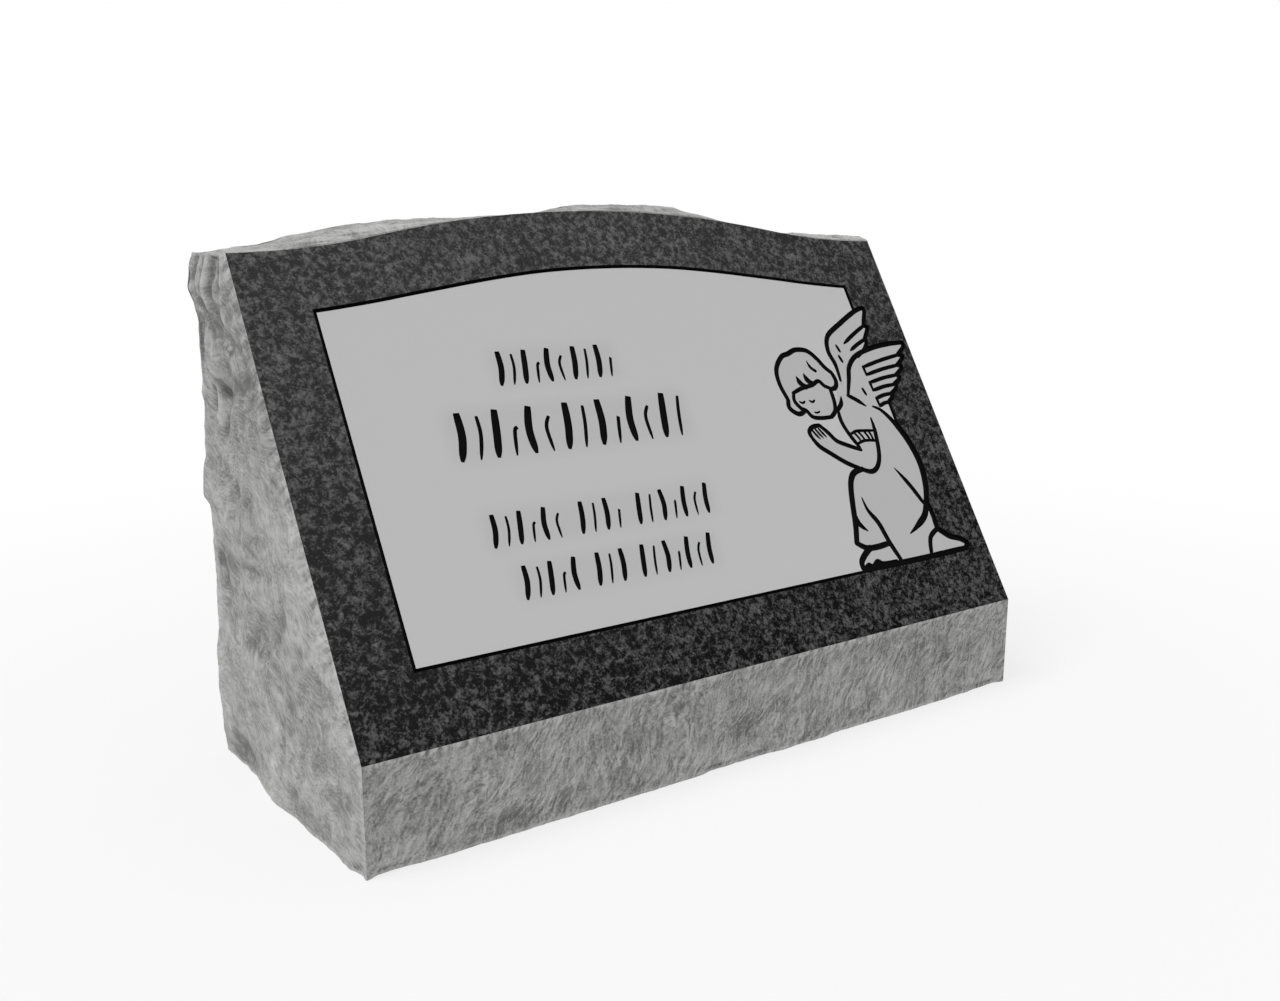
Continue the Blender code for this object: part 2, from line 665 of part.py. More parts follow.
def slantMarker():
    """The marker as one closed solid."""
    block, sloping = stoneBlock()
    rim = [(corner.co.x, (corner.co.z - noseHeight) / math.sin(slope)) for corner in sloping.verts]
    bmesh.ops.delete(block, geom=[sloping], context="FACES_ONLY")
    engrave(block, rim)
    bmesh.ops.remove_doubles(block, verts=block.verts, dist=2e-6)
    bmesh.ops.recalc_face_normals(block, faces=block.faces)
    bmesh.ops.triangulate(block, faces=block.faces)
    mesh = bpy.data.meshes.new("slant_marker")
    block.to_mesh(mesh)
    block.free()
    marker = bpy.data.objects.new("slant_marker", mesh)
    marker.data.materials.append(granite())
    bpy.context.scene.collection.objects.link(marker)
    return marker


for old in list(bpy.data.objects):
    bpy.data.objects.remove(old)

slantMarker()
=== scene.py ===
# Slant grave marker: one block of granite with a polished sloping face, a frosted panel, cut and painted
# work, and rock-pitched sides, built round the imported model.
# Metres. +X runs to the viewer's right, +Y away from the viewer, +Z up.
import math

import bmesh
import bpy
import numpy as np
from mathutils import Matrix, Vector, geometry, noise


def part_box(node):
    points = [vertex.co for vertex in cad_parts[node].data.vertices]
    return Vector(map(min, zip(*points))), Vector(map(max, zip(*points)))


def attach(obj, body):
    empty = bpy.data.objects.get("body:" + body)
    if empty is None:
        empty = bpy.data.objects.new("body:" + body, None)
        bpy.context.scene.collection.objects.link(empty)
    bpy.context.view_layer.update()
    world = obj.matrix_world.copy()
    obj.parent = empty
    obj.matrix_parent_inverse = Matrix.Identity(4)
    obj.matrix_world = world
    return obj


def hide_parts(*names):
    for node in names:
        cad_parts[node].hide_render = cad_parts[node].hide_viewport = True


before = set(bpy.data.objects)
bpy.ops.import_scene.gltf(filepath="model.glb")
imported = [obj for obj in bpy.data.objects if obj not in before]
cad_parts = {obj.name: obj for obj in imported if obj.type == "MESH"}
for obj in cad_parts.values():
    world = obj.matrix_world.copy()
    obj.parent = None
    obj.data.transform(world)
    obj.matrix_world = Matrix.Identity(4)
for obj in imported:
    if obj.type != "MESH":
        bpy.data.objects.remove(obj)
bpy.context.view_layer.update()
print("frame loaded")

inch = 0.0254
hair = 1e-6  # what is nearer than this touches

# the block: what it is sawn and polished to
stone = {
    "width": 24 * inch,
    "depth": 10 * inch,
    "noseHeight": 3 * inch,
    "slopeRise": 13 * inch,
    "slopeRun": 8 * inch,
    "slantAtCorner": 14.12 * inch,
    "slantAtCrown": 15.4 * inch,
    "crownShare": 0.625,
    "rowCrowding": 1.25,  # above 1, the rows from front to back crowd towards the face
    "acrossSteps": 208,  # how finely the block is divided
    "deepSteps": 78,
    "noseSteps": 26,
    "slopeSteps": 108,
}

# the rock-pitched sides, in metres where nothing else is said
pitch = {
    "leadIn": 0.55 * inch,  # how far from a crisp arris the rock is fully let out
    "standOff": 0.1 * inch,
    "leastStandOff": 0.02 * inch,
    "scoopSize": 2.4 * inch,
    "scoopDepth": 0.13 * inch,
    "swellShare": 0.55,  # how many swells there are to a scoop, and how deep they are beside it
    "swellDepth": 0.8,
    "topRough": 0.35,  # how rough the top is beside the sides
    # how far from the left side's back edge its measured outline holds, and where it ends
    "edgeBand": (0.2 * inch, 1.3 * inch),
    "chipSize": 0.024,  # broken facets on top of the scoops
    "chipDepth": 0.0019,
    "grainSize": 0.0075,
    "grainDepth": 0.0004,
    "rockFade": 0.009,  # how far behind the sloping face the small breaks are fully there
    "noseDepth": 0.0018,
    "noseDents": (55, 190),  # its broad and fine dents to a metre
    "noseEndFade": 0.01,  # how far from the nose's ends its dents are fully there
    "noseTopFade": 0.007,  # and how far below its top arris
    "spall": 0.007,  # how far flakes are off the lowest edge
    "spallHeight": 0.01,
    "spallWaves": (22, 60),  # the broad and fine flakes to a metre
    "spallEndFade": 0.012,
    "crispAngle": 38,  # in degrees: facets that meet more sharply than this show an edge
    "hollowPasses": 12,  # how widely the rock is smoothed to find its hollows
    "hollowDepth": 0.0011,  # how far below its smoothed self a corner of the rock counts as hollow
    "noseSkin": 0.004,  # how deep behind the nose's plane its rock lies
    "noseShade": 0.6,  # how much of the nose's wide hollows is counted too in its painted shade
    "leftSkin": 0.001,  # how deep behind the left side's plane its rock lies
    "lumpShade": 0.25,  # how much of its wide hollows is counted too in its painted shade
    "creaseShade": 0.6,  # how much of its creases is counted twice in its painted shade
    "duskShade": 1.1,  # and how much darker that side is above, and the heights between which it darkens
    "duskHeight": (0.2, 0.3),
}

# the panel and what is cut in it
cutting = {
    "margin": 2.02 * inch,
    "dipShares": (0.2, 0.5),  # where the panel's top dips under a top like the stone's own
    "riseShares": (0.55, 0.95),  # and where it rises over it
    "shoulderDip": 0.03 * inch,
    "cornerLift": 0.095 * inch,
    "panelSink": 0.03 * inch,
    "outlineWidth": 0.105 * inch,
    "figureOffset": 4.98 * inch,  # how far left of the panel's right side the angel's own corner is
    "lineWeight": 1.25,  # how broad the angel's lines are cut
    "strokeSink": 0.08 * inch,
    "smallestIsland": 0.004 * inch * inch,
    "curveSteps": 6,  # pieces of a curve between two guide points
    "panelTopSteps": 96,
    "weld": 0.003,  # in inches: drawn points nearer than this are one
}

slope = math.atan2(stone["slopeRise"], stone["slopeRun"])
noseShare = stone["noseSteps"] / (stone["noseSteps"] + stone["slopeSteps"])
halfWidth = stone["width"] / 2
noseHeight = stone["noseHeight"]
frontY = -stone["depth"] / 2
faceNormal = Vector((0, -math.sin(slope), math.cos(slope)))
panelHalf = halfWidth - cutting["margin"]


def faceTop(x):
    # length of the sloping face at x: a crown arc that turns into a hollow shoulder at each side
    t = min(1, abs(x) / halfWidth)
    rise = stone["slantAtCrown"] - stone["slantAtCorner"]
    if t < stone["crownShare"]:
        return stone["slantAtCorner"] + rise * (1 - t * t / stone["crownShare"])
    return stone["slantAtCorner"] + rise * (1 - t) ** 2 / (1 - stone["crownShare"])


def facePoint(x, u):
    return Vector((x, frontY + u * math.cos(slope), noseHeight + u * math.sin(slope)))


def smoothStep(t):
    t = max(0.0, min(1.0, t))
    return t * t * (3 - 2 * t)


def bandShare(x, band):
    # how far x has come smoothly through a band
    return smoothStep((x - band[0]) / (band[1] - band[0]))


def between(x, table):
    # a smooth value at x between the pairs of a short table
    if x <= table[0][0]:
        return table[0][1]
    for (x0, v0), (x1, v1) in zip(table, table[1:]):
        if x <= x1:
            return v0 + (v1 - v0) * smoothStep((x - x0) / (x1 - x0))
    return table[-1][1]


# knobs and hollows in inches: (distance back, height up), reach each way, and how far they stand out
leftLumps = (
    ((9.8, 14.3), (1.3, 0.8), 0.2),
    ((10.2, 8.2), (1.4, 1.0), 0.18),
    ((10.2, 2.2), (1.5, 1.4), 0.12),
    ((5.4, 0.2), (1.2, 1.0), 0.2),
    ((8.6, 10.6), (0.7, 0.8), -0.26),
    ((8.6, 11.9), (0.5, 0.45), 0.12),
    ((9.1, 5.5), (0.6, 0.9), -0.22),
    ((6.0, 4.8), (1.0, 0.6), -0.2),
    ((8.8, 0.3), (1.1, 0.5), -0.14),
    ((4.0, 7.0), (1.6, 1.4), 0.07),
)
# creases down the left side in inches, and ridges where the depth is below 0: guide points, width and depth
leftCreases = (
    (((9.6, 15.0), (9.78, 14.3), (9.6, 13.7), (9.16, 13.45), (8.1, 12.75), (7.5, 12.5)), 0.2, 0.13),
    (((8.3, 14.85), (8.45, 14.4), (8.64, 14.0), (8.6, 13.7), (8.2, 13.28), (7.35, 12.6)), 0.2, 0.12),
    (((7.85, 14.8), (8.0, 14.4), (7.9, 14.1)), 0.12, 0.08),
    (((8.9, 14.9), (9.1, 14.4), (9.2, 13.9)), 0.1, 0.05),
    (((9.75, 13.0), (9.72, 12.3), (9.65, 11.7), (9.45, 11.2), (9.45, 10.7)), 0.24, 0.32),
    (((8.8, 11.2), (7.8, 11.1)), 0.24, 0.26),
    (((8.4, 11.0), (8.5, 10.6), (8.6, 10.1)), 0.26, 0.26),
    (((7.2, 11.45), (6.4, 11.45), (6.0, 11.8)), 0.14, 0.05),
    (((7.5, 6.3), (6.5, 6.45), (5.2, 6.55)), 0.16, 0.05),
    (((7.4, 4.1), (6.2, 4.4), (5.3, 4.9), (4.6, 5.5)), 0.35, 0.08),
    (((5.2, 2.4), (5.3, 1.0)), 0.2, 0.04),
    (((4.7, 0.6), (4.2, 0.65)), 0.2, 0.04),
    (((9.0, 0.8), (8.0, 0.75), (7.6, 0.4)), 0.2, 0.04),
    (((9.5, 6.1), (9.2, 5.2)), 0.25, 0.14),
    (((8.2, 8.9), (7.2, 8.3), (6.4, 8.5)), 0.3, 0.04),
    (((6.6, 3.2), (5.9, 2.6)), 0.25, 0.04),
    (((8.55, 14.85), (8.87, 14.4), (9.0, 13.9), (8.8, 13.5)), 0.14, -0.06),
    (((7.7, 14.8), (7.8, 14.4), (7.8, 13.4), (7.45, 13.0)), 0.14, -0.05),
    (((9.4, 12.8), (9.04, 12.36), (8.7, 11.8)), 0.3, -0.05),
    (((7.2, 12.0), (6.5, 11.95)), 0.3, -0.07),
)
# along the back edge of the left side: heights in inches, and how far the rock stands out there
leftEdge = (
    (0.0, 0.09),
    (1.0, 0.2),
    (2.0, 0.22),
    (3.0, 0.21),
    (4.0, 0.09),
    (5.0, 0.08),
    (7.6, 0.08),
    (8.0, 0.29),
    (8.5, 0.25),
    (9.2, 0.11),
    (10.0, 0.08),
    (13.1, 0.07),
    (13.5, 0.15),
    (14.0, 0.31),
    (14.5, 0.24),
    (15.0, 0.09),
)
rightLumps = (
    ((9.6, 12.0), (1.3, 1.6), 0.14),
    ((7.0, 8.0), (1.3, 1.1), -0.16),
    ((9.8, 3.4), (1.5, 1.5), 0.16),
    ((4.2, 2.6), (1.2, 1.2), 0.1),
    ((8.4, 6.0), (0.9, 0.8), -0.14),
)
# across the back, from the left edge
backLumps = (
    ((3.5, 12.0), (2.2, 1.8), 0.16),
    ((8.5, 6.0), (2.4, 2.2), -0.2),
    ((15.5, 9.5), (2.6, 2.0), 0.14),
    ((20.0, 4.0), (2.0, 2.2), -0.16),
    ((12.5, 2.2), (2.2, 1.4), 0.12),
)
# hollows and rises in the nose: (distance across from the middle, height up)
noseLumps = (
    ((-7.5, 0.5), (0.9, 0.3), -0.06),
    ((-6.0, 0.6), (0.5, 0.3), -0.05),
    ((-3.6, 1.7), (0.6, 0.5), -0.05),
    ((0.4, 1.2), (1.2, 0.5), -0.03),
    ((4.2, 0.5), (0.9, 0.25), -0.06),
    ((8.3, 1.7), (1.1, 0.6), -0.03),
    ((-8.0, 1.9), (0.5, 0.5), 0.04),
    ((-9.5, 2.5), (0.5, 0.3), 0.04),
    ((2.0, 2.2), (0.5, 0.4), 0.04),
    ((11.0, 1.2), (0.4, 0.5), 0.04),
    ((6.2, 1.4), (0.5, 0.4), 0.03),
    ((-1.6, 0.7), (0.5, 0.4), 0.03),
)
# at shares of the half width, how far the rock of the top stands above the polished edge before it
topLift = (
    (-1.0, 0.0),
    (-0.867, 0.12),
    (-0.767, 0.25),
    (-0.658, 0.28),
    (-0.542, 0.22),
    (-0.417, 0.09),
    (-0.317, -0.02),
    (-0.083, -0.02),
    (0.05, 0.21),
    (0.2, 0.29),
    (0.3, 0.31),
    (0.408, 0.2),
    (0.5, -0.04),
    (0.683, -0.02),
    (0.767, 0.2),
    (0.967, 0.2),
    (1.0, 0.17),
)


def lumps(along, up, table):
    total = 0.0
    for middle, reach, height in table:
        away = math.hypot((along / inch - middle[0]) / reach[0], (up / inch - middle[1]) / reach[1])
        total += height * math.exp(-away * away)
    return inch * total


def creased(back, up):
    # how deep the creases of the left side run at a place: each is a soft valley along its guide points
    here = Vector((back / inch, up / inch))
    total = 0.0
    for line, width, depth in leftCreases:
        away = 9.0
        for a, b in zip(line, line[1:]):
            spot, share = geometry.intersect_point_line(here, a, b)
            nearest = Vector(a).lerp(Vector(b), min(1.0, max(0.0, share)))
            away = min(away, (nearest - here).length)
        total += depth * math.exp(-((away / width) ** 2))
    return inch * total


def pitched(along, up, seed):
    # stand-off of rock-pitched granite: hollow scoops that meet in ridges, on a slow swell
    size = pitch["scoopSize"]
    reach = noise.voronoi(Vector((along / size, up / size, seed)))[0][0]
    scoop = min(1.0, 1.5 * reach * reach)
    share = pitch["swellShare"]
    swell = noise.noise(Vector((along / size * share, up / size * share, seed + 4.7)))
    deep = pitch["scoopDepth"]
    return pitch["standOff"] + deep * (scoop - 0.35) + pitch["swellDepth"] * deep * swell


def leftRelief(back, up):
    rock = max(pitch["leastStandOff"], pitched(back, up, 1.3) + lumps(back, up, leftLumps))
    edge = inch * between(up / inch, leftEdge)
    holds, ends = pitch["edgeBand"]
    return rock + (edge - rock) * smoothStep(1 - (stone["depth"] - back - holds) / (ends - holds))


def rightRelief(back, up):
    return max(pitch["leastStandOff"], pitched(back, up, 7.9) + lumps(back, up, rightLumps))


def backRelief(across, up):
    rock = pitched(across, up, 3.1) + lumps(across + halfWidth, up, backLumps)
    even = pitch["standOff"]
    return even + (rock - even) * smoothStep((across + halfWidth) / pitch["edgeBand"][1])


def topRelief(across, back):
    rough = pitch["topRough"] * (pitched(across, back, 5.3) - pitch["standOff"])
    return inch * between(across / halfWidth, topLift) + rough


def stonePoint(a, b, c):
    # where a corner of the divided cube goes: a across, b from front to back and c from the ground up
    x = (a - 0.5) * stone["width"]
    crest = noseHeight + faceTop(x) * math.sin(slope)
    u = faceTop(x) * max(0.0, c - noseShare) / (1 - noseShare)
    z = noseHeight * min(1.0, c / noseShare) + u * math.sin(slope)
    front = u * math.cos(slope) + frontY
    if b == 0:
        return Vector((x, front, z))
    y = front + (stone["depth"] / 2 - front) * b ** stone["rowCrowding"]
    back = y - frontY
    fade = smoothStep(0.25 + 0.75 * (y - front) / pitch["leadIn"])
    if a < 1:
        x -= leftRelief(back, z) * fade * (1 - a)
    if a > 0:
        x += rightRelief(back, z) * fade * a
    if b > 0.02:
        y += backRelief(x, z) * b**2.5 * smoothStep(0.3 + 0.7 * z / noseHeight)
    lifted = (z / crest) ** 3
    if lifted > 0.001:
        z += topRelief(x, back) * fade * lifted
    return Vector((x, y, z))


def ridged(spot, seed):
    # broken facets that meet in sharp crests: 0 in a hollow, 0.9 on a crest
    value = 0.0
    share = 0.6
    for octave in range(2):
        n = noise.noise(spot * 2**octave + Vector((seed, 3.1 * octave, 0)))
        value += share * (1 - min(1.0, abs(n) * 2.2))
        share *= 0.5
    return value


def brokenOff(spot, left):
    # how deep the small breaks go at a place on the rock, and the creases where it is on the left side
    chip = 1 - ridged(spot / pitch["chipSize"], 2.7)
    grain = noise.noise(spot / pitch["grainSize"]) + 0.5 * noise.noise(spot * 2.3 / pitch["grainSize"])
    deep = pitch["chipDepth"] * chip + pitch["grainDepth"] * (0.5 + 0.5 * grain)
    if left > 0:
        deep += left * creased(spot.y - frontY, spot.z)
    return deep


def roughen(block):
    # the small breaks, faded out at every crisp arris
    block.normal_update()
    moves = []
    for corner in block.verts:
        spot = corner.co
        below = -(spot - Vector((0, frontY, noseHeight))).dot(faceNormal)  # depth behind the sloping face
        if below < hair:
            continue
        onNose = spot.y < frontY + hair
        if onNose:
            inFromEnds = (halfWidth - abs(spot.x)) / pitch["noseEndFade"]
            fade = smoothStep(min(inFromEnds, (noseHeight - spot.z) / pitch["noseTopFade"]))
            broad, fine = (noise.noise(spot * dents) for dents in pitch["noseDents"])
            rough = 0.5 + 0.5 * broad + 0.4 * fine
            deep = fade * (pitch["noseDepth"] * rough - lumps(spot.x, spot.z, noseLumps))
            way = Vector((0, 1, 0))
        else:
            front = frontY + max(0.0, spot.z - noseHeight) / math.tan(slope)
            fade = smoothStep((spot.y - front) / pitch["rockFade"])
            deep = fade * brokenOff(spot, smoothStep((-corner.normal.x - 0.3) / 0.4))
            way = -corner.normal
        low = 1 - smoothStep(spot.z / pitch["spallHeight"])
        if low > 0:
            # flakes off the lowest edge
            broad, fine = pitch["spallWaves"]
            flake = noise.noise(Vector((spot.x * broad, spot.y * broad, 1.7)))
            flake += 0.25 * noise.noise(spot * fine)
            inwards = Vector((-corner.normal.x, -corner.normal.y, 0))
            ends = smoothStep((halfWidth - abs(spot.x)) / pitch["spallEndFade"]) if onNose else fade
            moves.append((corner, inwards * (low * ends * pitch["spall"] * max(0.0, flake))))
        if spot.z < hair:
            way = Vector((way.x, way.y, 0))
        moves.append((corner, way * max(0.0, deep)))
    for corner, move in moves:
        corner.co += move


def paintedRockShade(block):
    # painted shade at each corner of the rock, from how hollow it is: below 0 on a crest, 1 and more in a
    # crease; the wide hollows of the nose and the left side and the left side's creases count again, and
    # the left side is darkened above
    block.normal_update()
    block.verts.index_update()
    spots = np.array([corner.co for corner in block.verts])
    normals = np.array([corner.normal for corner in block.verts])
    ends = np.array([[corner.index for corner in edge.verts] for edge in block.edges])
    ends = np.concatenate((ends, ends[:, ::-1]))
    count = np.bincount(ends[:, 0])[:, None]
    flat = spots
    for _ in range(pitch["hollowPasses"]):
        flat = np.stack([np.bincount(ends[:, 0], flat[ends[:, 1], axis]) for axis in range(3)], 1) / count
    values = ((flat - spots) * normals).sum(1) / pitch["hollowDepth"]
    for n, (x, y, z) in enumerate(spots):
        if y < frontY + pitch["noseSkin"] and z < noseHeight:
            values[n] -= pitch["noseShade"] * lumps(x, z, noseLumps) / pitch["hollowDepth"]
        elif x < -halfWidth + pitch["leftSkin"]:
            values[n] -= pitch["lumpShade"] * lumps(y - frontY, z, leftLumps) / pitch["hollowDepth"]
            values[n] += pitch["creaseShade"] * creased(y - frontY, z) / pitch["hollowDepth"]
            low, high = pitch["duskHeight"]
            values[n] += pitch["duskShade"] * smoothStep((z - low) / (high - low))
    return values


def smooth(points, steps):
    # a curve through the points, with the given number of steps between each pair
    count = len(points)
    line = []
    for n in range(count - 1):
        p0, p1, p2, p3 = (np.array(points[min(max(n + m, 0), count - 1)], float) for m in (-1, 0, 1, 2))
        second = 2 * p0 - 5 * p1 + 4 * p2 - p3
        third = 3 * p1 - p0 - 3 * p2 + p3
        for s in range(steps):
            t = s / steps
            line.append(p1 + 0.5 * ((p2 - p0) * t + second * t**2 + third * t**3))
    line.append(np.array(points[-1], float))
    return line


def unit(way):
    return way / max(1e-9, math.hypot(*way))


def opened(end, t):
    # how broad a ribbon is at t from an end: it opens quickly from a blunt end, slowly from a fine one
    return end + (1 - end) * (5 if end > 0.3 else 2.5) * t


def ribbon(line, width, first=0.35, last=0.35, swell=0.0, capped=False):
    # a closed strip along a line: full width in its middle, the first and last shares of it at its ends
    count = len(line)
    left = []
    right = []
    for n, point in enumerate(line):
        way = unit(line[min(n + 1, count - 1)] - line[max(n - 1, 0)])
        side = np.array((-way[1], way[0]))
        t = n / (count - 1)
        share = min(1.0, opened(first, t), opened(last, 1 - t))
        half = 0.5 * width * (share + swell * math.sin(math.pi * t))
        left.append(point + side * half)
        right.append(point - side * half)
    if capped:
        tail = roundEnd(line[0], unit(line[0] - line[1]), right[0])
        left = tail + left + roundEnd(line[-1], unit(line[-1] - line[-2]), left[-1])
    return left + right[::-1]


def roundEnd(end, out, start):
    # the corners of a ribbon's rounded end, from one of its sides to the other
    across = start - end
    out = out * math.hypot(*across)
    turns = (math.radians(degrees) for degrees in (35, 65, 90, 115, 145))
    return [end + across * math.cos(turn) + out * math.sin(turn) for turn in turns]


# the angel is drawn in inches, from a corner of its own on the panel's lower edge
def wing(leading, tipEnds, rootEnds, feathers, joined, steps):
    # lines and outline of a wing: its leading edge, then feathers whose rounded tips step inwards,
    # the joined ones closed in pairs at their roots
    edge = smooth(leading, steps)
    lines = [(edge, 0.155, 0.6, 0.8)]
    tip, lastTip = (np.array(end, float) for end in tipEnds)
    root, lastRoot = (np.array(end, float) for end in rootEnds)
    down = unit(lastTip - tip)
    bow = np.array((-down[1], down[0])) * 0.16
    rim = []
    roots = []
    notch = edge[-1]
    for n in range(feathers):
        t = (n + 0.3) / feathers
        nextT = (n + 1) / feathers
        end = tip + (lastTip - tip) * t + bow * math.sin(math.pi * t)
        inner = root + (lastRoot - root) * nextT
        along = unit(end - inner)
        nextNotch = tip + (lastTip - tip) * nextT + bow * math.sin(math.pi * nextT)
        nextNotch = nextNotch + (inner - nextNotch) * (0.13 if n < feathers - 1 else 0.1)
        curl = smooth((notch, end + 0.05 * along, end + 0.17 * down + 0.02 * along, nextNotch), steps)
        lines.append((curl, 0.13, 0.8, 0.8))
        middle = (nextNotch + inner) / 2 + (0.02, 0.03)
        lines.append((smooth((nextNotch, middle, inner), steps), 0.12, 0.9, 0.7 if joined else 0.4))
        rim += curl
        notch = nextNotch
        roots.append(inner)
    if joined:
        for upper, lower in zip(roots[::2], roots[1::2]):
            lines.append((smooth((upper, lower), 1), 0.11, 1.0, 0.8))
    return lines, edge + rim


def angel(steps):
    # every line of the angel as (line, width, share at its start, share at its end), and its filled parts
    lines = []
    fills = []

    def draw(points, width, first=0.4, last=0.4):
        line = smooth(points, steps)
        lines.append((line, width, first, last))
        return line

    # two wings, the far one behind
    farEdge = ((3.12, 6.7), (3.16, 7.3), (3.06, 7.85), (3.3, 8.4), (4.1, 8.85), (5.0, 9.28), (5.47, 9.4))
    farEnds = ((5.47, 9.4), (4.7, 7.7)), ((3.75, 8.35), (4.3, 7.5))
    farLines, farFill = wing(farEdge, *farEnds, 3, False, steps)
    nearEdge = ((3.2, 6.1), (3.52, 6.7), (3.78, 7.2), (4.3, 7.58), (5.2, 7.82), (6.1, 7.92), (6.78, 7.92))
    nearEnds = ((6.78, 7.92), (5.0, 5.72)), ((4.4, 7.42), (4.5, 5.6))
    nearLines, nearFill = wing(nearEdge, *nearEnds, 6, True, steps)
    lines += farLines + nearLines
    draw(((3.2, 6.12), (3.55, 5.9), (3.85, 5.66)), 0.14, 0.8, 0.3)
    for x, u in ((3.56, 7.9), (3.5, 7.5), (4.02, 6.2)):
        draw(((x - 0.03, u + 0.12), (x + 0.04, u - 0.12)), 0.1, 0.7, 0.7)
    fills.append(farFill + [(4.3, 7.3), (3.2, 6.1)])
    fills.append(nearFill + [(4.2, 5.4), (3.4, 5.4)])

    # bobbed hair, a fringe, and a bowed face with closed eyes
    crown = ((0.48, 6.2), (0.36, 6.8), (0.46, 7.34), (0.86, 7.76), (1.2, 7.86), (1.6, 7.98))
    curls = smooth(crown + ((2.1, 7.9), (2.44, 7.54)), steps)
    curls += smooth((curls[-1], (2.62, 7.24), (2.84, 7.02)), steps)
    nape = smooth((curls[-1], (2.9, 6.7), (2.76, 6.46), (2.5, 6.42)), steps)
    temple = smooth((curls[0], (0.42, 5.9), (0.72, 5.66), (1.08, 5.76)), steps)
    lines.append((curls, 0.15, 0.9, 0.9))
    lines.append((nape, 0.15, 0.9, 0.7))
    lines.append((temple, 0.15, 0.9, 0.7))
    draw(((0.8, 6.42), (1.25, 6.56), (1.75, 6.64), (2.1, 6.76), (2.3, 6.56), (2.52, 6.46)), 0.13, 0.8, 0.8)
    for x, u, broad in ((1.44, 6.6, 0.17), (1.8, 6.68, 0.17), (2.14, 7.14, 0.1)):
        draw(((x, u), (x - 0.17, u + 0.16), (x - 0.24, u + 0.42)), broad, 1.0, 0.1)
    face = draw(
        ((0.82, 6.42), (0.74, 6.14), (0.9, 5.86), (1.1, 5.74), (1.28, 5.5), (1.66, 5.42), (2.1, 5.42)),
        0.13,
        0.8,
        0.9,
    )
    jaw = draw(((2.1, 5.42), (2.36, 5.62), (2.48, 5.98), (2.5, 6.42)), 0.14, 0.9, 0.9)
    for x in (1.06, 1.5):
        draw(((x - 0.12, 6.1), (x, 6.03), (x + 0.13, 6.09)), 0.07, 0.5, 0.5)
    draw(((1.42, 5.66), (1.55, 5.63), (1.68, 5.67)), 0.06, 0.5, 0.5)
    fills.append(curls + nape + face[::-1] + temple[::-1])
    fills.append(face + jaw)

    # neck, chest and back
    draw(((2.86, 6.1), (2.74, 5.84), (2.46, 5.62)), 0.14, 0.3, 0.8)
    chest = draw(((2.5, 5.66), (2.46, 5.2), (2.6, 4.72), (2.84, 4.22)), 0.14, 0.7, 0.8)
    back = draw(
        ((4.15, 5.62), (4.5, 5.42), (4.88, 4.9), (5.2, 4.16), (5.34, 3.3), (5.2, 2.5), (4.9, 1.86)),
        0.2,
        0.3,
        0.8,
    )

    # gown: knee, hem and folds
    knee = draw(
        ((2.6, 3.44), (2.14, 3.34), (1.84, 2.98), (1.6, 2.3), (1.4, 1.6), (1.16, 0.98)),
        0.19,
        0.8,
        0.9,
    )
    hem = draw(((1.16, 0.98), (1.5, 0.76), (1.95, 0.72), (2.5, 0.76)), 0.17, 0.9, 0.9)
    draw(((2.1, 2.46), (2.16, 2.0), (2.42, 1.5), (2.58, 0.8), (2.8, 0.14)), 0.16, 0.25, 0.9)
    draw(((1.5, 2.1), (1.56, 1.62), (1.84, 1.3)), 0.16, 0.6, 0.15)
    draw(((4.06, 3.3), (4.46, 2.64), (4.8, 1.9)), 0.15, 0.2, 0.8)
    draw(((4.98, 2.0), (4.66, 1.5), (4.2, 1.2), (3.66, 0.94)), 0.2, 0.9, 0.15)
    train = draw(((4.96, 1.9), (5.0, 1.4), (4.95, 0.92)), 0.16, 0.8, 0.8)
    rearHem = draw(((4.95, 0.92), (4.5, 0.66), (4.26, 0.1)), 0.15, 0.9, 0.8)
    skirt = [(4.26, 0.0), (2.5, 0.0), (2.5, 0.76)]
    shoulder = [(3.85, 5.66), (3.2, 6.12), (3.12, 6.66), (2.84, 6.52)]
    fills.append(chest + knee + hem + skirt[::-1] + rearHem[::-1] + train[::-1] + back[::-1] + shoulder)

    # sleeve with a gathered band, and the forearm up to joined hands
    sleeve = draw(
        ((3.86, 5.2), (3.82, 4.7), (3.62, 3.9), (3.34, 3.46), (2.98, 3.3), (2.56, 3.44)),
        0.15,
        0.4,
        0.9,
    )
    under = draw(((2.56, 3.44), (2.0, 3.74), (1.44, 4.16), (1.1, 4.44), (0.92, 4.74)), 0.15, 0.9, 0.8)
    hand = draw(((0.92, 4.74), (0.88, 4.98), (1.08, 5.14), (1.42, 5.18)), 0.14, 0.8, 0.8)
    over = draw(((1.42, 5.18), (1.7, 4.86), (1.92, 4.56), (2.3, 4.36), (2.86, 4.12)), 0.14, 0.8, 0.8)
    bandTop = draw(((2.62, 4.7), (2.95, 4.8), (3.35, 4.78), (3.78, 4.74)), 0.09, 0.8, 0.8)
    bandFoot = draw(((2.8, 4.34), (3.15, 4.42), (3.5, 4.4), (3.72, 4.36)), 0.09, 0.8, 0.8)
    for n in range(4):
        t = (n + 1) / 5
        top = bandTop[round(t * (len(bandTop) - 1))]
        low = bandFoot[round(t * (len(bandFoot) - 1))]
        lines.append((smooth((top, (top + low) / 2 + (0.03, 0), low), 2), 0.08, 1.0, 1.0))
    for n in range(3):
        start = np.array((1.04 + 0.15 * n, 5.02 + 0.02 * n))
        draw((start, start + (0.1, -0.18), start + (0.22, -0.34)), 0.08, 0.9, 0.3)
    fills.append(sleeve + under + hand + over + [(2.7, 4.6), (3.5, 5.3)])

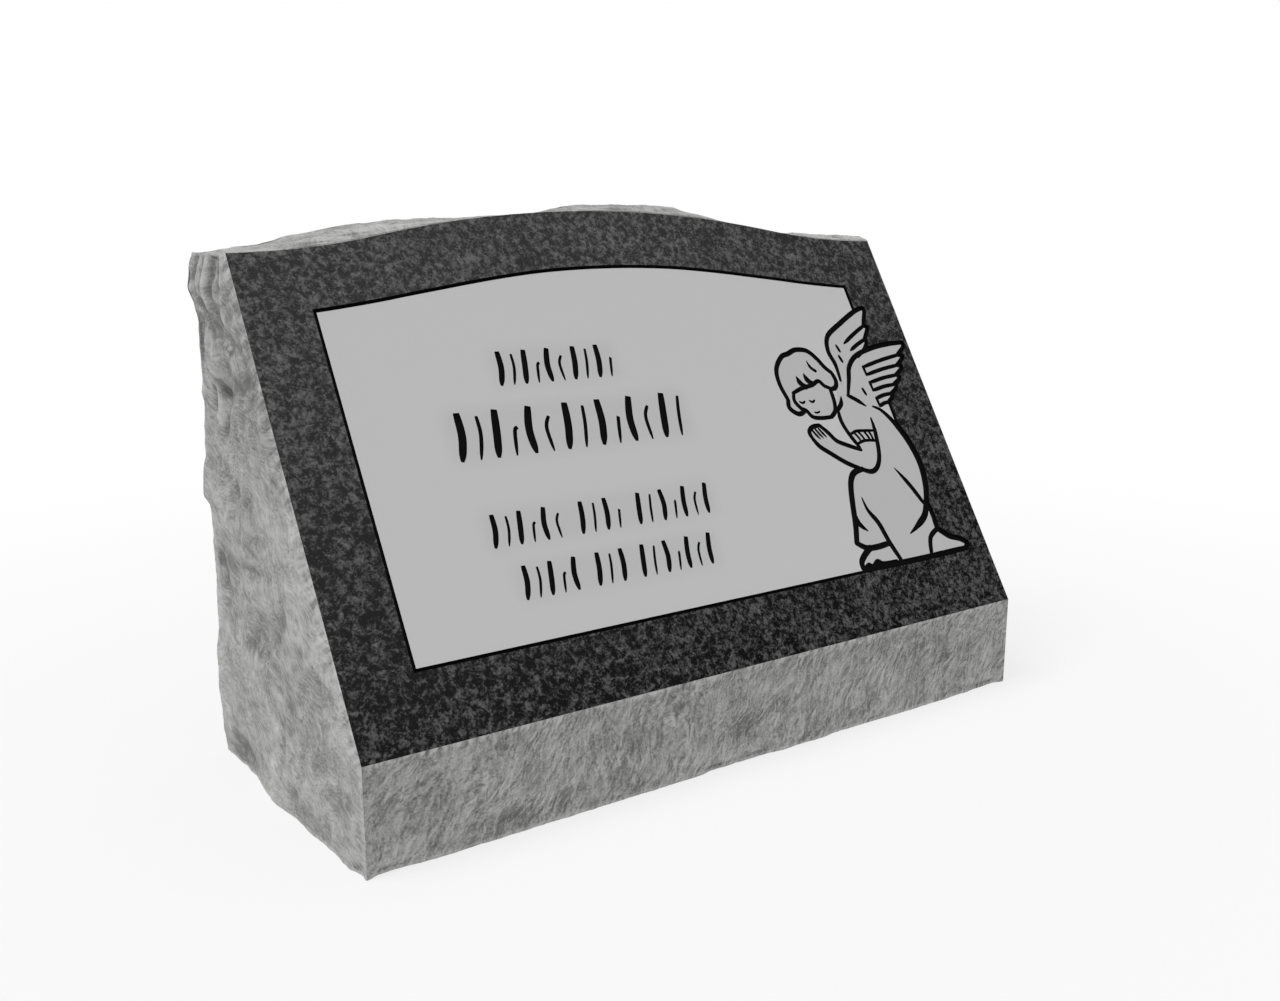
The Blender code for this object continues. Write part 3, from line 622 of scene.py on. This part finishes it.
    # bare feet on a heavy ground line, the toes of the front one along it
    frontFoot = draw(((1.66, 0.74), (1.34, 0.56), (1.08, 0.34), (1.04, 0.1)), 0.18, 1.0, 0.9)
    draw(((1.16, 0.12), (1.34, 0.2), (1.5, 0.12), (1.76, 0.26), (2.0, 0.14), (2.6, 0.12)), 0.12, 0.9, 0.9)
    fills.append([(2.8, 0.1), (2.62, 0.76)] + frontFoot)
    rearFoot = draw(
        ((4.96, 0.92), (5.12, 0.8), (5.4, 0.58), (5.85, 0.42), (6.1, 0.22), (5.98, 0.08)),
        0.17,
        0.9,
        0.9,
    )
    fills.append(rearFoot + rearHem[::-1])
    lines.append((smooth(((1.06, 0.06), (3.5, 0.03), (5.98, 0.06)), 4), 0.17, 0.9, 0.9))
    return lines, fills


# the inscription in inches: for each row its middle, foot, height, width and weight, and how many marks
# stand in each of its groups
rows = (
    (-2.96, 9.62, 1.1, 4.3, 0.17, (10,)),
    (-2.96, 7.44, 1.48, 8.3, 0.22, (14,)),
    (-2.9, 4.84, 0.98, 7.9, 0.15, (6, 4, 7)),
    (-2.9, 3.26, 0.98, 6.9, 0.15, (5, 3, 7)),
)
groupGap = 0.8


def inscription(steps):
    # leaning chisel strokes in pairs, a broad one and a fine one side by side, that spell nothing
    strokes = []
    for middle, base, height, width, weight, groups in rows:
        spacing = width / (sum(groups) + groupGap * (len(groups) - 1))
        x = middle - width / 2 + spacing / 2
        for g, marks in enumerate(groups):
            for n in range(marks):
                pair = n // 2 + 3 * g
                lean = height * (0.16 + 0.05 * math.sin(2.4 * pair))
                bow = height * 0.07 * math.sin(1.9 * pair + 1.1)
                broad = weight if n % 2 == 0 else 0.5 * weight
                drop = 0.0 if n % 2 == 0 else (0.1, 0.42, 0.25)[pair % 3] * height
                low = (x - lean / 2, base)
                waist = (x + bow, base + height / 2)
                high = (x + lean / 2, base + height - drop)
                strokes.append(ribbon(smooth((low, waist, high), steps), broad, 0.45, 0.9, 0.15))
                x += spacing
            x += groupGap * spacing
    return strokes


def placed(points, shift):
    return [(p[0] * inch + shift[0], p[1] * inch + shift[1]) for p in points]


def panelLoop(grow):
    # the panel's outline, grown all round: square feet, upright sides and a plainer top than the stone's
    half = panelHalf + grow
    low = cutting["margin"] - grow
    loop = [(-half, low), (half, low)]
    for n in range(cutting["panelTopSteps"] + 1):
        share = 1 - 2 * n / cutting["panelTopSteps"]
        away = abs(share)
        rise = (cutting["cornerLift"] + cutting["shoulderDip"]) * bandShare(away, cutting["riseShares"])
        lift = rise - cutting["shoulderDip"] * bandShare(away, cutting["dipShares"])
        loop.append((half * share, faceTop(half * share) - cutting["margin"] + lift + grow))
    return loop


def insideOf(spots, polygon):
    # which spots a closed polygon winds round
    ring = np.array(polygon, float)
    turns = np.zeros(len(spots), int)
    for (x0, y0), (x1, y1) in zip(ring, np.roll(ring, -1, axis=0)):
        side = (x1 - x0) * (spots[:, 1] - y0) - (spots[:, 0] - x0) * (y1 - y0)
        turns += ((y0 <= spots[:, 1]) & (y1 > spots[:, 1]) & (side > 0)).astype(int)
        turns -= ((y1 <= spots[:, 1]) & (y0 > spots[:, 1]) & (side < 0)).astype(int)
    return turns != 0


# the finishes, in the order of the piece's material slots
polished, frosted, figured, painted, pitchedRock, pitchedNose, sawn = range(7)


def fanRuns(v, fan, corners, beside, level):
    # the triangles round a corner in order, split where the level changes
    ring = [fan[0]]
    while len(ring) < len(fan):
        a = [int(n) for n in corners[ring[-1]]]
        after = beside.get((v, a[(a.index(v) + 2) % 3]))
        if after is None or after == ring[0]:
            return []
        ring.append(after)
    starts = [n for n in range(len(ring)) if level[ring[n]] != level[ring[n - 1]]]
    if not starts:
        return []
    ends = starts[1:] + [starts[0] + len(ring)]
    return [[ring[n % len(ring)] for n in range(a, b)] for a, b in zip(starts, ends)]


def withoutSlivers(corners, level, flat):
    # scraps too small to stand are cut away, and no two floors meet at a bare corner
    level = level.copy()
    beside = {}
    around = {}
    for t, triangle in enumerate(corners):
        for a, b in zip(triangle, np.roll(triangle, -1)):
            beside[int(a), int(b)] = t
            around.setdefault(int(a), []).append(t)
    first, second, third = (flat[corners[:, n]] for n in range(3))
    one = second - first
    two = third - first
    area = 0.5 * np.abs(one[:, 0] * two[:, 1] - one[:, 1] * two[:, 0])
    for _ in range(3):
        seen = set()
        for start in range(len(corners)):
            if start in seen or level[start] == painted:
                continue
            patch = [start]
            seen.add(start)
            for t in patch:
                for a, b in zip(corners[t], np.roll(corners[t], -1)):
                    other = beside.get((int(b), int(a)))
                    if other is not None and other not in seen and level[other] == level[start]:
                        seen.add(other)
                        patch.append(other)
            if area[patch].sum() < cutting["smallestIsland"]:
                level[patch] = painted
        for v, fan in around.items():
            runs = fanRuns(v, fan, corners, beside, level)
            shallow = [run for run in runs if level[run[0]] != painted]
            if len(runs) > 3 and len(shallow) > 1:
                level[min(shallow, key=lambda run: area[run].sum())] = painted
    return level


def fewerTriangles(flat, corners, level):
    # the same floors divided again with only their borders as lines
    beside = {}
    for triangle, depth in zip(corners, level):
        for a, b in zip(triangle, np.roll(triangle, -1)):
            beside[int(a), int(b)] = int(depth)
    border = {pair: depth for pair, depth in beside.items() if beside.get(pair[::-1]) != depth}
    kept = sorted({v for pair in border for v in pair})
    number = {v: n for n, v in enumerate(kept)}
    border = {(number[a], number[b]): depth for (a, b), depth in border.items()}
    flat = flat[kept]
    spots = [Vector(p / inch) for p in flat]
    _, _, corners, *_ = geometry.delaunay_2d_cdt(spots, list(border), [], 0, hair)
    sides = {}
    for t, (a, b, c) in enumerate(corners):
        for pair in ((a, b), (b, c), (c, a)):
            sides[pair] = t
    level = {}
    for pair, depth in border.items():
        level[sides[pair]] = depth
    reached = list(level)
    for t in reached:
        a, b, c = corners[t]
        for pair in ((b, a), (c, b), (a, c)):
            other = sides.get(pair)
            if other is not None and other not in level and pair not in border and pair[::-1] not in border:
                level[other] = level[t]
                reached.append(other)
    order = sorted(level)
    return flat, [corners[t] for t in order], [level[t] for t in order]


def faceFloors(rim):
    # the sloping face inside its rim, divided into flat floors: their corners, triangles and finishes
    steps = cutting["curveSteps"]
    lines, fills = angel(steps)
    figureShift = (panelHalf - cutting["figureOffset"], cutting["margin"])
    figure = [placed(fill, figureShift) for fill in fills]
    weight = cutting["lineWeight"]
    cuts = [
        placed(ribbon(line, weight * width, *ends, capped=True), figureShift)
        for line, width, *ends in lines
    ]
    cuts += [placed(stroke, (0.0, 0.0)) for stroke in inscription(steps)]
    outer = panelLoop(cutting["outlineWidth"] / 2)
    inner = panelLoop(-cutting["outlineWidth"] / 2)

    spots = []
    edges = []
    for polygon in [rim, outer, inner, *figure, *cuts]:
        start = len(spots)
        spots += [Vector((x / inch, u / inch)) for x, u in polygon]
        edges += [(start + n, start + (n + 1) % len(polygon)) for n in range(len(polygon))]
    flat, _, corners, *_ = geometry.delaunay_2d_cdt(spots, edges, [], 0, cutting["weld"])
    flat = np.array([tuple(spot) for spot in flat]) * inch
    corners = np.array(corners, int)
    middles = flat[corners].mean(axis=1)
    level = np.full(len(corners), polished)
    level[insideOf(middles, outer)] = painted
    level[insideOf(middles, inner)] = frosted
    for fill in figure:
        level[insideOf(middles, fill)] = figured
    for cut in cuts:
        level[insideOf(middles, cut)] = painted
    kept = insideOf(middles, rim)
    corners = corners[kept]
    return fewerTriangles(flat, corners, withoutSlivers(corners, level[kept], flat))


def sink(block, faces, depth):
    # lets a region of the face down into the stone between painted walls, and gives back its floors
    known = set(block.faces) - set(faces)
    made = bmesh.ops.extrude_face_region(block, geom=faces)["geom"]
    floors = [item for item in made if isinstance(item, bmesh.types.BMFace)]
    corners = [item for item in made if isinstance(item, bmesh.types.BMVert)]
    bmesh.ops.delete(block, geom=[face for face in faces if face.is_valid], context="FACES_KEEP_BOUNDARY")
    bmesh.ops.translate(block, verts=corners, vec=-faceNormal * depth)
    walls = set(block.faces) - known - set(floors)
    for wall in walls:
        wall.material_index = painted
    return floors


def cutFace(block, rim):
    # the polished face goes in flat, then the panel is let down, and the strokes further
    flat, corners, level = faceFloors(rim)
    spots = [block.verts.new(facePoint(*spot)) for spot in flat]
    for triangle, kind in zip(corners, level):
        floor = block.faces.new([spots[v] for v in triangle])
        floor.material_index = kind
    bmesh.ops.remove_doubles(block, verts=block.verts, dist=2 * hair)
    sunk = [face for face in block.faces if face.material_index in (frosted, figured, painted)]
    sunk = sink(block, sunk, cutting["panelSink"])
    deeper = [face for face in sunk if face.material_index == painted]
    sink(block, deeper, cutting["strokeSink"] - cutting["panelSink"])


def dividedCube(counts):
    cube = bmesh.new()
    bmesh.ops.create_cube(cube, size=1)
    bmesh.ops.translate(cube, verts=cube.verts, vec=(0.5, 0.5, 0.5))
    for axis, count in enumerate(counts):
        rails = [edge for edge in cube.edges if abs(edge.verts[0].co[axis] - edge.verts[1].co[axis]) > 0.5]
        bmesh.ops.subdivide_edges(cube, edges=rails, cuts=count - 1, use_grid_fill=True)
    return cube


def graniteMarker(finishes):
    # the whole stone as one closed mesh, inside the solid's own box
    counts = (stone["acrossSteps"], stone["deepSteps"], stone["noseSteps"] + stone["slopeSteps"])
    block = dividedCube(counts)
    block.normal_update()
    sloping = [f for f in block.faces if f.normal.y < -0.5 and f.calc_center_median().z > noseShare]
    under = [f for f in block.faces if f.normal.z < -0.5]
    sloping = bmesh.ops.dissolve_faces(block, faces=sloping, use_verts=False)["region"][0]
    under = bmesh.ops.dissolve_faces(block, faces=under, use_verts=False)["region"][0]
    for face in block.faces:
        face.material_index = pitchedNose if face.normal.y < -0.5 else pitchedRock
    under.material_index = sawn
    for corner in block.verts:
        corner.co = stonePoint(*corner.co)
    print("block shaped")
    rim = [(corner.co.x, (corner.co.z - noseHeight) / math.sin(slope)) for corner in sloping.verts]
    roughen(block)
    # painted shade and light for the rock, kept on each corner so its finish darkens hollows and lightens
    # crests
    paintedShade = block.verts.layers.float.new("paintedShade")
    for corner, value in zip(block.verts, paintedRockShade(block)):
        corner[paintedShade] = value
    print("rock pitched")
    bmesh.ops.delete(block, geom=[sloping], context="FACES_ONLY")
    cutFace(block, rim)
    print("face cut")
    low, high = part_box("slant_marker")
    for corner in block.verts:
        corner.co = [min(max(value, a), b) for value, a, b in zip(corner.co, low, high)]
    bmesh.ops.triangulate(block, faces=block.faces)
    bmesh.ops.recalc_face_normals(block, faces=block.faces)
    for face in block.faces:
        face.smooth = face.material_index in (pitchedRock, pitchedNose)
    for edge in block.edges:
        edge.smooth = edge.calc_face_angle(0) < math.radians(pitch["crispAngle"])
    mesh = bpy.data.meshes.new("granite_marker")
    block.to_mesh(mesh)
    block.free()
    marker = bpy.data.objects.new("granite_marker", mesh)
    bpy.context.scene.collection.objects.link(marker)
    for stuff in finishes:
        marker.data.materials.append(stuff)
    return marker


class Wire:
    # one output of a node: arithmetic on it adds Math nodes
    def __init__(self, finish, socket):
        self.finish = finish
        self.socket = socket

    def __add__(self, other):
        return self.finish.sum("ADD", self, other)

    def __radd__(self, other):
        return self.finish.sum("ADD", other, self)

    def __sub__(self, other):
        return self.finish.sum("SUBTRACT", self, other)

    def __rsub__(self, other):
        return self.finish.sum("SUBTRACT", other, self)

    def __mul__(self, other):
        return self.finish.sum("MULTIPLY", self, other)

    def __rmul__(self, other):
        return self.finish.sum("MULTIPLY", other, self)

    def __pow__(self, other):
        return self.finish.sum("POWER", self, other)

    def atLeast(self, other):
        return self.finish.sum("MAXIMUM", self, other)

    def atMost(self, other):
        return self.finish.sum("MINIMUM", self, other)

    def size(self):
        return self.finish.sum("ABSOLUTE", self)

    def rising(self, low, high):
        # 0 below low, 1 above high, eased between them
        ends = {"From Min": low, "From Max": high, "Value": self}
        return self.finish.add("ShaderNodeMapRange", {"interpolation_type": "SMOOTHSTEP"}, ends)


class Finish:
    # a material and the nodes in it
    def __init__(self, name, **constants):
        self.material = bpy.data.materials.new(name)
        self.material.use_nodes = True
        self.tree = self.material.node_tree
        self.shader = self.tree.nodes["Principled BSDF"]
        for socket, value in constants.items():
            self.shader.inputs[socket.replace("_", " ")].default_value = value
        self.place = self.add("ShaderNodeTexCoord", output="Object")

    def add(self, kind, settings=None, values=None, output=0):
        node = self.tree.nodes.new(kind)
        for name, value in (settings or {}).items():
            setattr(node, name, value)
        for name, value in (values or {}).items():
            self.feed(node.inputs[name], value)
        return Wire(self, node.outputs[output])

    def feed(self, socket, value):
        if isinstance(value, Wire):
            self.tree.links.new(value.socket, socket)
        else:
            socket.default_value = value

    def sum(self, operation, *values):
        return self.add("ShaderNodeMath", {"operation": operation}, dict(enumerate(values)))

    def vector(self, operation, values, output=0):
        return self.add("ShaderNodeVectorMath", {"operation": operation}, values, output)

    def noise(self, scale, detail=2.0, roughness=0.5, distortion=0.0, place=None, output=0):
        values = {
            "Vector": place or self.place,
            "Scale": scale,
            "Detail": detail,
            "Roughness": roughness,
            "Distortion": distortion,
        }
        return self.add("ShaderNodeTexNoise", {}, values, output)

    def blend(self, share, first, second):
        values = {0: share, 6: (*first, 1) if isinstance(first, tuple) else first}
        values[7] = (*second, 1) if isinstance(second, tuple) else second
        return self.add("ShaderNodeMix", {"data_type": "RGBA"}, values, 2)

    def axes(self):
        return [self.add("ShaderNodeSeparateXYZ", {}, {0: self.place}, n) for n in range(3)]

    def colour(self, value):
        self.feed(self.shader.inputs["Base Color"], value)

    def rough(self, value):
        self.feed(self.shader.inputs["Roughness"], value)

    def bump(self, height, strength, distance):
        values = {"Height": height, "Strength": strength, "Distance": distance}
        self.feed(self.shader.inputs["Normal"], self.add("ShaderNodeBump", {}, values))


# the finishes: their colours, and how many blobs, grains or streaks there are to a metre
finish = {
    "polishedDark": (0.003, 0.003, 0.0031),
    "polishedLight": (0.15, 0.15, 0.149),
    "polishedBlobs": 185,
    "polishedGrains": 560,
    "polishedClouds": 50,
    "polishedTones": (0.435, 0.7),  # where between them the dark ends and the light is full
    "panel": (0.66, 0.66, 0.66),
    # the panel's colour under the painted shadow of the strokes
    "panelInStrokeShadow": (0.61, 0.61, 0.61),
    "strokeShadowReach": 0.42 * inch,  # how far from the strokes the painted shadow darkens the panel
    "figure": (0.585, 0.585, 0.585),
    "grit": 1500,
    "gritShade": (0.97, 1.03),
    "gritDepth": 0.0002,
    "paint": (0.004, 0.004, 0.004),
    "paintPatches": 140,
    "rockDark": (0.17, 0.17, 0.1675),
    "rockLight": (0.6, 0.6, 0.594),
    # how strongly the painted shade darkens the rock's hollows and the painted light lightens its crests
    "paintedHollowShade": 0.048,
    "hollowLimits": (-0.9, 2.4),
    "streaks": 420,
    "grains": 680,
    "sway": 13,  # the turns of the streaks' sway
    "rockFlow": (0.3, 0.9, 0.33),  # the way the streaks of the sides, back and top run
    "streakLength": 6.0,  # how long a streak is beside its breadth
    "rockMottle": 130,
    "rockClouds": 26,
    "rockTones": (0.42, 0.17),  # the middle of the rock's tones, and how far they spread
    "rockDepth": 0.0016,
    "noseFlow": (0.45, 0.1, 0.9),
    "dents": 200,
    "dentLitToShadedShift": (0.0013, 0.0, -0.0009),  # from a dent's painted lit flank to its painted shaded one
    "noseClouds": 60,
    "nosePatches": 48,
    "noseTones": (0.41, 0.135),
    "dentDepth": 0.0024,
    "combShade": 0.36,
    "combTeeth": 260,
    "combBand": 0.024,  # how far the tool marks reach from a crisp arris
    "noseCombTeeth": 300,
    "noseCombBand": 0.007,
    "sawnDark": (0.16, 0.16, 0.158),
    "sawnLight": (0.42, 0.42, 0.415),
    "sawnGrains": 420,
    "sawLines": 240,
    "sawDepth": 0.0004,
}


def faceAxes(stuff):
    # across and up the sloping face, in metres from the middle of its lowest arris
    x, y, z = stuff.axes()
    return x, (y - frontY) * math.cos(slope) + (z - noseHeight) * math.sin(slope)


def polishedGranite():
    # dark polished granite: black grains among greys, with a few light flecks
    stuff = Finish("polished_granite", Specular_IOR_Level=0.35)
    x, u = faceAxes(stuff)
    blobs = stuff.noise(finish["polishedBlobs"], 2.0, 0.65, 0.5)
    grains = stuff.noise(finish["polishedGrains"], 2.0, 0.6, 0.6)
    clouds = stuff.noise(finish["polishedClouds"], 2.0)
    high = u.rising(0.13, 0.24)
    side = x.rising(-0.25, 0.25)
    # painted light and shade over the face: darkest low on the left, lighter elsewhere
    paintedFaceLight = 0.03 * high + 0.026 * side - 0.034 * high * side - 0.037
    tone = 0.56 * blobs + 0.38 * grains + 0.12 * clouds + paintedFaceLight
    tone = tone.rising(*finish["polishedTones"])
    stuff.colour(stuff.blend(tone, finish["polishedDark"], finish["polishedLight"]))
    stuff.rough(0.13 + 0.08 * grains)
    return stuff.material


def blasted(stuff, plain):
    # fine blasted grit: a plain colour made uneven, and a slight bump
    grit = stuff.noise(finish["grit"], 2.0, 0.6)
    stuff.bump(grit, 0.15, finish["gritDepth"])
    darker, lighter = (tuple(share * c for c in plain) for share in finish["gritShade"])
    return stuff.blend(grit, darker, lighter)


def frostedPanel():
    # blasted granite, with a painted shadow of the strokes that darkens it round each row
    stuff = Finish("frosted_panel", Roughness=0.85, Specular_IOR_Level=0.25)
    x, u = faceAxes(stuff)
    reach = finish["strokeShadowReach"]
    strokeShadow = 0.0
    for middle, base, height, width, _, _ in rows:
        dx = ((x - middle * inch).size() - width * inch / 2 + 0.6 * reach).atLeast(0)
        du = ((u - (base + height / 2) * inch).size() - height * inch / 2 + 0.6 * reach).atLeast(0)
        away = (dx * dx + du * du) ** 0.5
        strokeShadow = 1 - away.rising(0, 1.6 * reach) + strokeShadow
    strokeShadow = strokeShadow.atMost(1)
    stuff.colour(stuff.blend(strokeShadow, blasted(stuff, finish["panel"]), finish["panelInStrokeShadow"]))
    return stuff.material


def figureFill():
    # the inside of the angel, blasted a little darker than the panel
    stuff = Finish("figure_fill", Roughness=0.85, Specular_IOR_Level=0.25)
    stuff.colour(blasted(stuff, finish["figure"]))
    return stuff.material


def strokePaint():
    # matt black paint in the strokes, a little thinner in places
    stuff = Finish("stroke_paint", Roughness=0.8, Specular_IOR_Level=0.05)
    thin = stuff.noise(finish["paintPatches"], 2.0)
    stuff.colour(stuff.blend(thin, finish["paint"], tuple(1.8 * c for c in finish["paint"])))
    return stuff.material


def drawnOut(stuff, flow, sway, length):
    # the place on the stone, bent by a slow sway and drawn out along a flow: a noise on it makes streaks
    turned = stuff.noise(finish["sway"], 2.0, 0.5, output=1)
    bent = stuff.vector("MULTIPLY_ADD", {0: turned, 1: (sway, sway, sway), 2: stuff.place})
    flow = Vector(flow).normalized()
    along = stuff.vector("DOT_PRODUCT", {0: bent, 1: tuple(flow)}, 1)
    pull = stuff.vector("SCALE", {0: tuple(flow), 3: along * (1 / length - 1)})
    return stuff.vector("ADD", {0: bent, 1: pull})


def brokenTone(stuff, tone, tones, comb, byArris):
    # painted shade in the hollows and painted light on the crests, with a comb of tool marks by a crisp
    # arris
    paintedShade = stuff.add("ShaderNodeAttribute", {"attribute_name": "paintedShade"}, output=2)
    least, most = finish["hollowLimits"]
    tone = tone - finish["paintedHollowShade"] * paintedShade.atLeast(least).atMost(most)
    tone = tone + byArris * (0.02 + finish["combShade"] * (comb - 0.5))
    middle, spread = tones
    tone = tone.rising(middle - spread, middle + spread)
    stuff.colour(stuff.blend(tone, finish["rockDark"], finish["rockLight"]))


def rockPitched():
    # broken granite: light and dark streaks that swirl along its flow, mottled and grained
    stuff = Finish("rock_pitched_granite", Roughness=0.9, Specular_IOR_Level=0.2)
    stretched = drawnOut(stuff, finish["rockFlow"], 0.075, finish["streakLength"])
    streaks = stuff.noise(finish["streaks"], 3.0, 0.6, 0.5, stretched)
    grains = stuff.noise(finish["grains"], 2.0, 0.6)
    wide = stuff.vector("MULTIPLY", {0: stuff.place, 1: (1.0, 0.5, 1.0)})
    mottle = stuff.noise(finish["rockMottle"], 2.0, 0.55, 0.0, wide)
    clouds = stuff.noise(finish["rockClouds"], 2.0, 0.55, 0.0, wide)
    x, y, z = stuff.axes()
    below = (y - frontY) * math.sin(slope) - (z - noseHeight) * math.cos(slope)
    up = (y - frontY) * math.cos(slope) + (z - noseHeight) * math.sin(slope)
    teeth = stuff.add("ShaderNodeCombineXYZ", {}, {0: up, 1: 0.12 * below, 2: 0.12 * x})
    comb = stuff.noise(finish["combTeeth"], 1.0, 0.5, 0.0, teeth)
    tone = 0.32 * streaks + 0.16 * grains + 0.17 * mottle + 0.19 * clouds
    byArris = 1 - below.rising(0.0, finish["combBand"])
    brokenTone(stuff, tone, finish["rockTones"], comb, byArris)
    stuff.bump(0.5 * streaks + 0.2 * grains + 0.3 * mottle, 0.6, finish["rockDepth"])
    return stuff.material


def nosePitched():
    # the nose: dented by the hammer, with its streaks leaning to the right, painted light and shade on its
    # dents, and darker strips down its ends
    stuff = Finish("nose_pitched_granite", Roughness=0.9, Specular_IOR_Level=0.2)
    flow = finish["noseFlow"]
    streaks = stuff.noise(finish["streaks"], 3.0, 0.62, 0.6, drawnOut(stuff, flow, 0.06, 2.4))
    drawn = drawnOut(stuff, flow, 0.04, 2.0)
    dents = stuff.noise(finish["dents"], 3.0, 0.55, 0.6, drawn)
    # painted light and shade: each dent is coloured light on one flank and dark on the other, as if lit
    # from the upper left
    dentShadeSpot = stuff.vector("ADD", {0: drawn, 1: finish["dentLitToShadedShift"]})
    paintedDentShade = dents - stuff.noise(finish["dents"], 3.0, 0.55, 0.6, dentShadeSpot)
    grains = stuff.noise(finish["grains"], 2.0, 0.6)
    clouds = stuff.noise(finish["noseClouds"], 2.0, 0.5, 0.0, drawn)
    x, y, z = stuff.axes()
    teeth = stuff.add("ShaderNodeCombineXYZ", {}, {0: x, 1: 0.15 * z, 2: 0.15 * y})
    comb = stuff.noise(finish["noseCombTeeth"], 1.0, 0.5, 0.0, teeth)
    ends = x.size().rising(halfWidth - 0.006, halfWidth)
    patches = stuff.noise(finish["nosePatches"], 1.0).rising(0.4, 0.64)
    tone = 0.24 * streaks + 0.21 * grains + 0.2 * dents + 0.17 * clouds - 0.05 * ends
    # the dents' painted light and shade, stronger in patches
    tone = tone + (0.08 + 0.26 * patches) * paintedDentShade
    byArris = z.rising(noseHeight - finish["noseCombBand"], noseHeight)
    brokenTone(stuff, tone, finish["noseTones"], comb, byArris)
    stuff.bump(0.3 * streaks + 0.15 * grains + 0.55 * dents, 0.7, finish["dentDepth"])
    return stuff.material


def sawnGranite():
    # the underside, with faint lines of the saw
    stuff = Finish("sawn_granite", Roughness=0.75, Specular_IOR_Level=0.3)
    grains = stuff.noise(finish["sawnGrains"], 3.0, 0.6)
    wide = stuff.vector("MULTIPLY", {0: stuff.place, 1: (0.02, 1.0, 1.0)})
    lines = stuff.noise(finish["sawLines"], 1.0, 0.5, 0.0, wide)
    tone = (0.7 * grains + 0.3 * lines).rising(0.3, 0.7)
    stuff.colour(stuff.blend(tone, finish["sawnDark"], finish["sawnLight"]))
    stuff.bump(lines, 0.3, finish["sawDepth"])
    return stuff.material


finishes = [polishedGranite(), frostedPanel(), figureFill(), strokePaint()]
finishes += [rockPitched(), nosePitched(), sawnGranite()]
print("finishes made")
marker = graniteMarker(finishes)
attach(marker, "root")
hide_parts("slant_marker")
print("marker made:", len(marker.data.polygons), "triangles")

studio = {
    "floorHalf": 9.0,
    "floorGap": 0.0003,  # how far below the stone the floor lies
    "floorTone": 0.8,
    "floorGlow": 1.0,
    "clearLeast": 0.75,  # how much of the floor's shade is lost beside the stone
    "clearNear": 0.35,  # where the floor's shade begins to fade, and where it is gone
    "clearFar": 1.3,
    "lowLight": 0.08,  # the room's light near the ground, and what is added overhead
    "highLight": 0.86,
    "lightRises": (27, 56),  # in degrees above the ground
    "keyWay": (-0.5, 0.1, 0.86),
    "keyStrength": 1.47,
    "keySoftness": 30,
}


def studioFloor():
    # a plain pale floor that runs out into the white of the room
    sheet = bmesh.new()
    bmesh.ops.create_grid(sheet, x_segments=1, y_segments=1, size=studio["floorHalf"])
    bmesh.ops.translate(sheet, verts=sheet.verts, vec=(0, 0, -studio["floorGap"]))
    mesh = bpy.data.meshes.new("floor")
    sheet.to_mesh(mesh)
    sheet.free()
    floor = bpy.data.objects.new("floor", mesh)
    bpy.context.scene.collection.objects.link(floor)
    stuff = Finish("pale_floor", Roughness=0.9, Specular_IOR_Level=0.0)
    tone = studio["floorTone"]
    stuff.colour((tone, tone, tone, 1))
    glow = stuff.add("ShaderNodeEmission", {}, {"Color": (1, 1, 1, 1), "Strength": studio["floorGlow"]})
    away = stuff.vector("LENGTH", {0: stuff.place}, 1)
    least = studio["clearLeast"]
    clear = least + (1 - least) * away.rising(studio["clearNear"], studio["clearFar"])
    shade = stuff.shader.outputs[0]
    mixed = stuff.add("ShaderNodeMixShader", {}, {0: clear, 1: Wire(stuff, shade), 2: glow})
    output = stuff.tree.nodes["Material Output"]
    stuff.tree.links.new(mixed.socket, output.inputs["Surface"])
    floor.data.materials.append(stuff.material)


def studioLight():
    world = bpy.data.worlds.new("white_room")
    world.use_nodes = True
    bpy.context.scene.world = world
    nodes = world.node_tree.nodes
    links = world.node_tree.links
    # light that grows from the horizon to overhead
    low, high = (math.sin(math.radians(degrees)) for degrees in studio["lightRises"])
    way = nodes.new("ShaderNodeTexCoord")
    parts = nodes.new("ShaderNodeSeparateXYZ")
    rise = nodes.new("ShaderNodeMapRange")
    rise.interpolation_type = "SMOOTHSTEP"
    ends = {"From Min": low, "From Max": high, "To Min": studio["lowLight"]}
    ends["To Max"] = studio["lowLight"] + studio["highLight"]
    for socket, value in ends.items():
        rise.inputs[socket].default_value = value
    room = nodes["Background"]
    room.inputs["Color"].default_value = (1, 1, 1, 1)
    links.new(way.outputs["Generated"], parts.inputs[0])
    links.new(parts.outputs["Z"], rise.inputs["Value"])
    links.new(rise.outputs["Result"], room.inputs["Strength"])
    seen = nodes.new("ShaderNodeBackground")
    seen.inputs["Color"].default_value = (1, 1, 1, 1)
    ray = nodes.new("ShaderNodeLightPath")
    mix = nodes.new("ShaderNodeMixShader")
    links.new(ray.outputs["Is Camera Ray"], mix.inputs[0])
    links.new(room.outputs[0], mix.inputs[1])
    links.new(seen.outputs[0], mix.inputs[2])
    links.new(mix.outputs[0], nodes["World Output"].inputs["Surface"])

    key = bpy.data.lights.new("key", "SUN")
    key.energy = studio["keyStrength"]
    key.angle = math.radians(studio["keySoftness"])
    lamp = bpy.data.objects.new("key", key)
    lamp.rotation_euler = Vector(studio["keyWay"]).to_track_quat("Z", "Y").to_euler()
    bpy.context.scene.collection.objects.link(lamp)


# the camera: where it stands, which way it looks, and its lens in millimetres
outlook = {
    "place": (-0.60325, -0.83376, 0.40948),
    "way": (0.5706, 0.7923, -0.2162),
    "lens": 36.787,
    "sensor": 36,
    "farthest": 50,
}


def camera():
    lens = bpy.data.cameras.new("camera")
    lens.lens = outlook["lens"]
    lens.sensor_width = outlook["sensor"]
    lens.clip_end = outlook["farthest"]
    view = bpy.data.objects.new("camera", lens)
    view.location = outlook["place"]
    view.rotation_euler = Vector(outlook["way"]).to_track_quat("-Z", "Y").to_euler()
    bpy.context.scene.collection.objects.link(view)
    bpy.context.scene.camera = view


studioFloor()
studioLight()
camera()
bpy.context.scene.view_settings.view_transform = "Standard"
print("studio set")

bpy.context.view_layer.update()
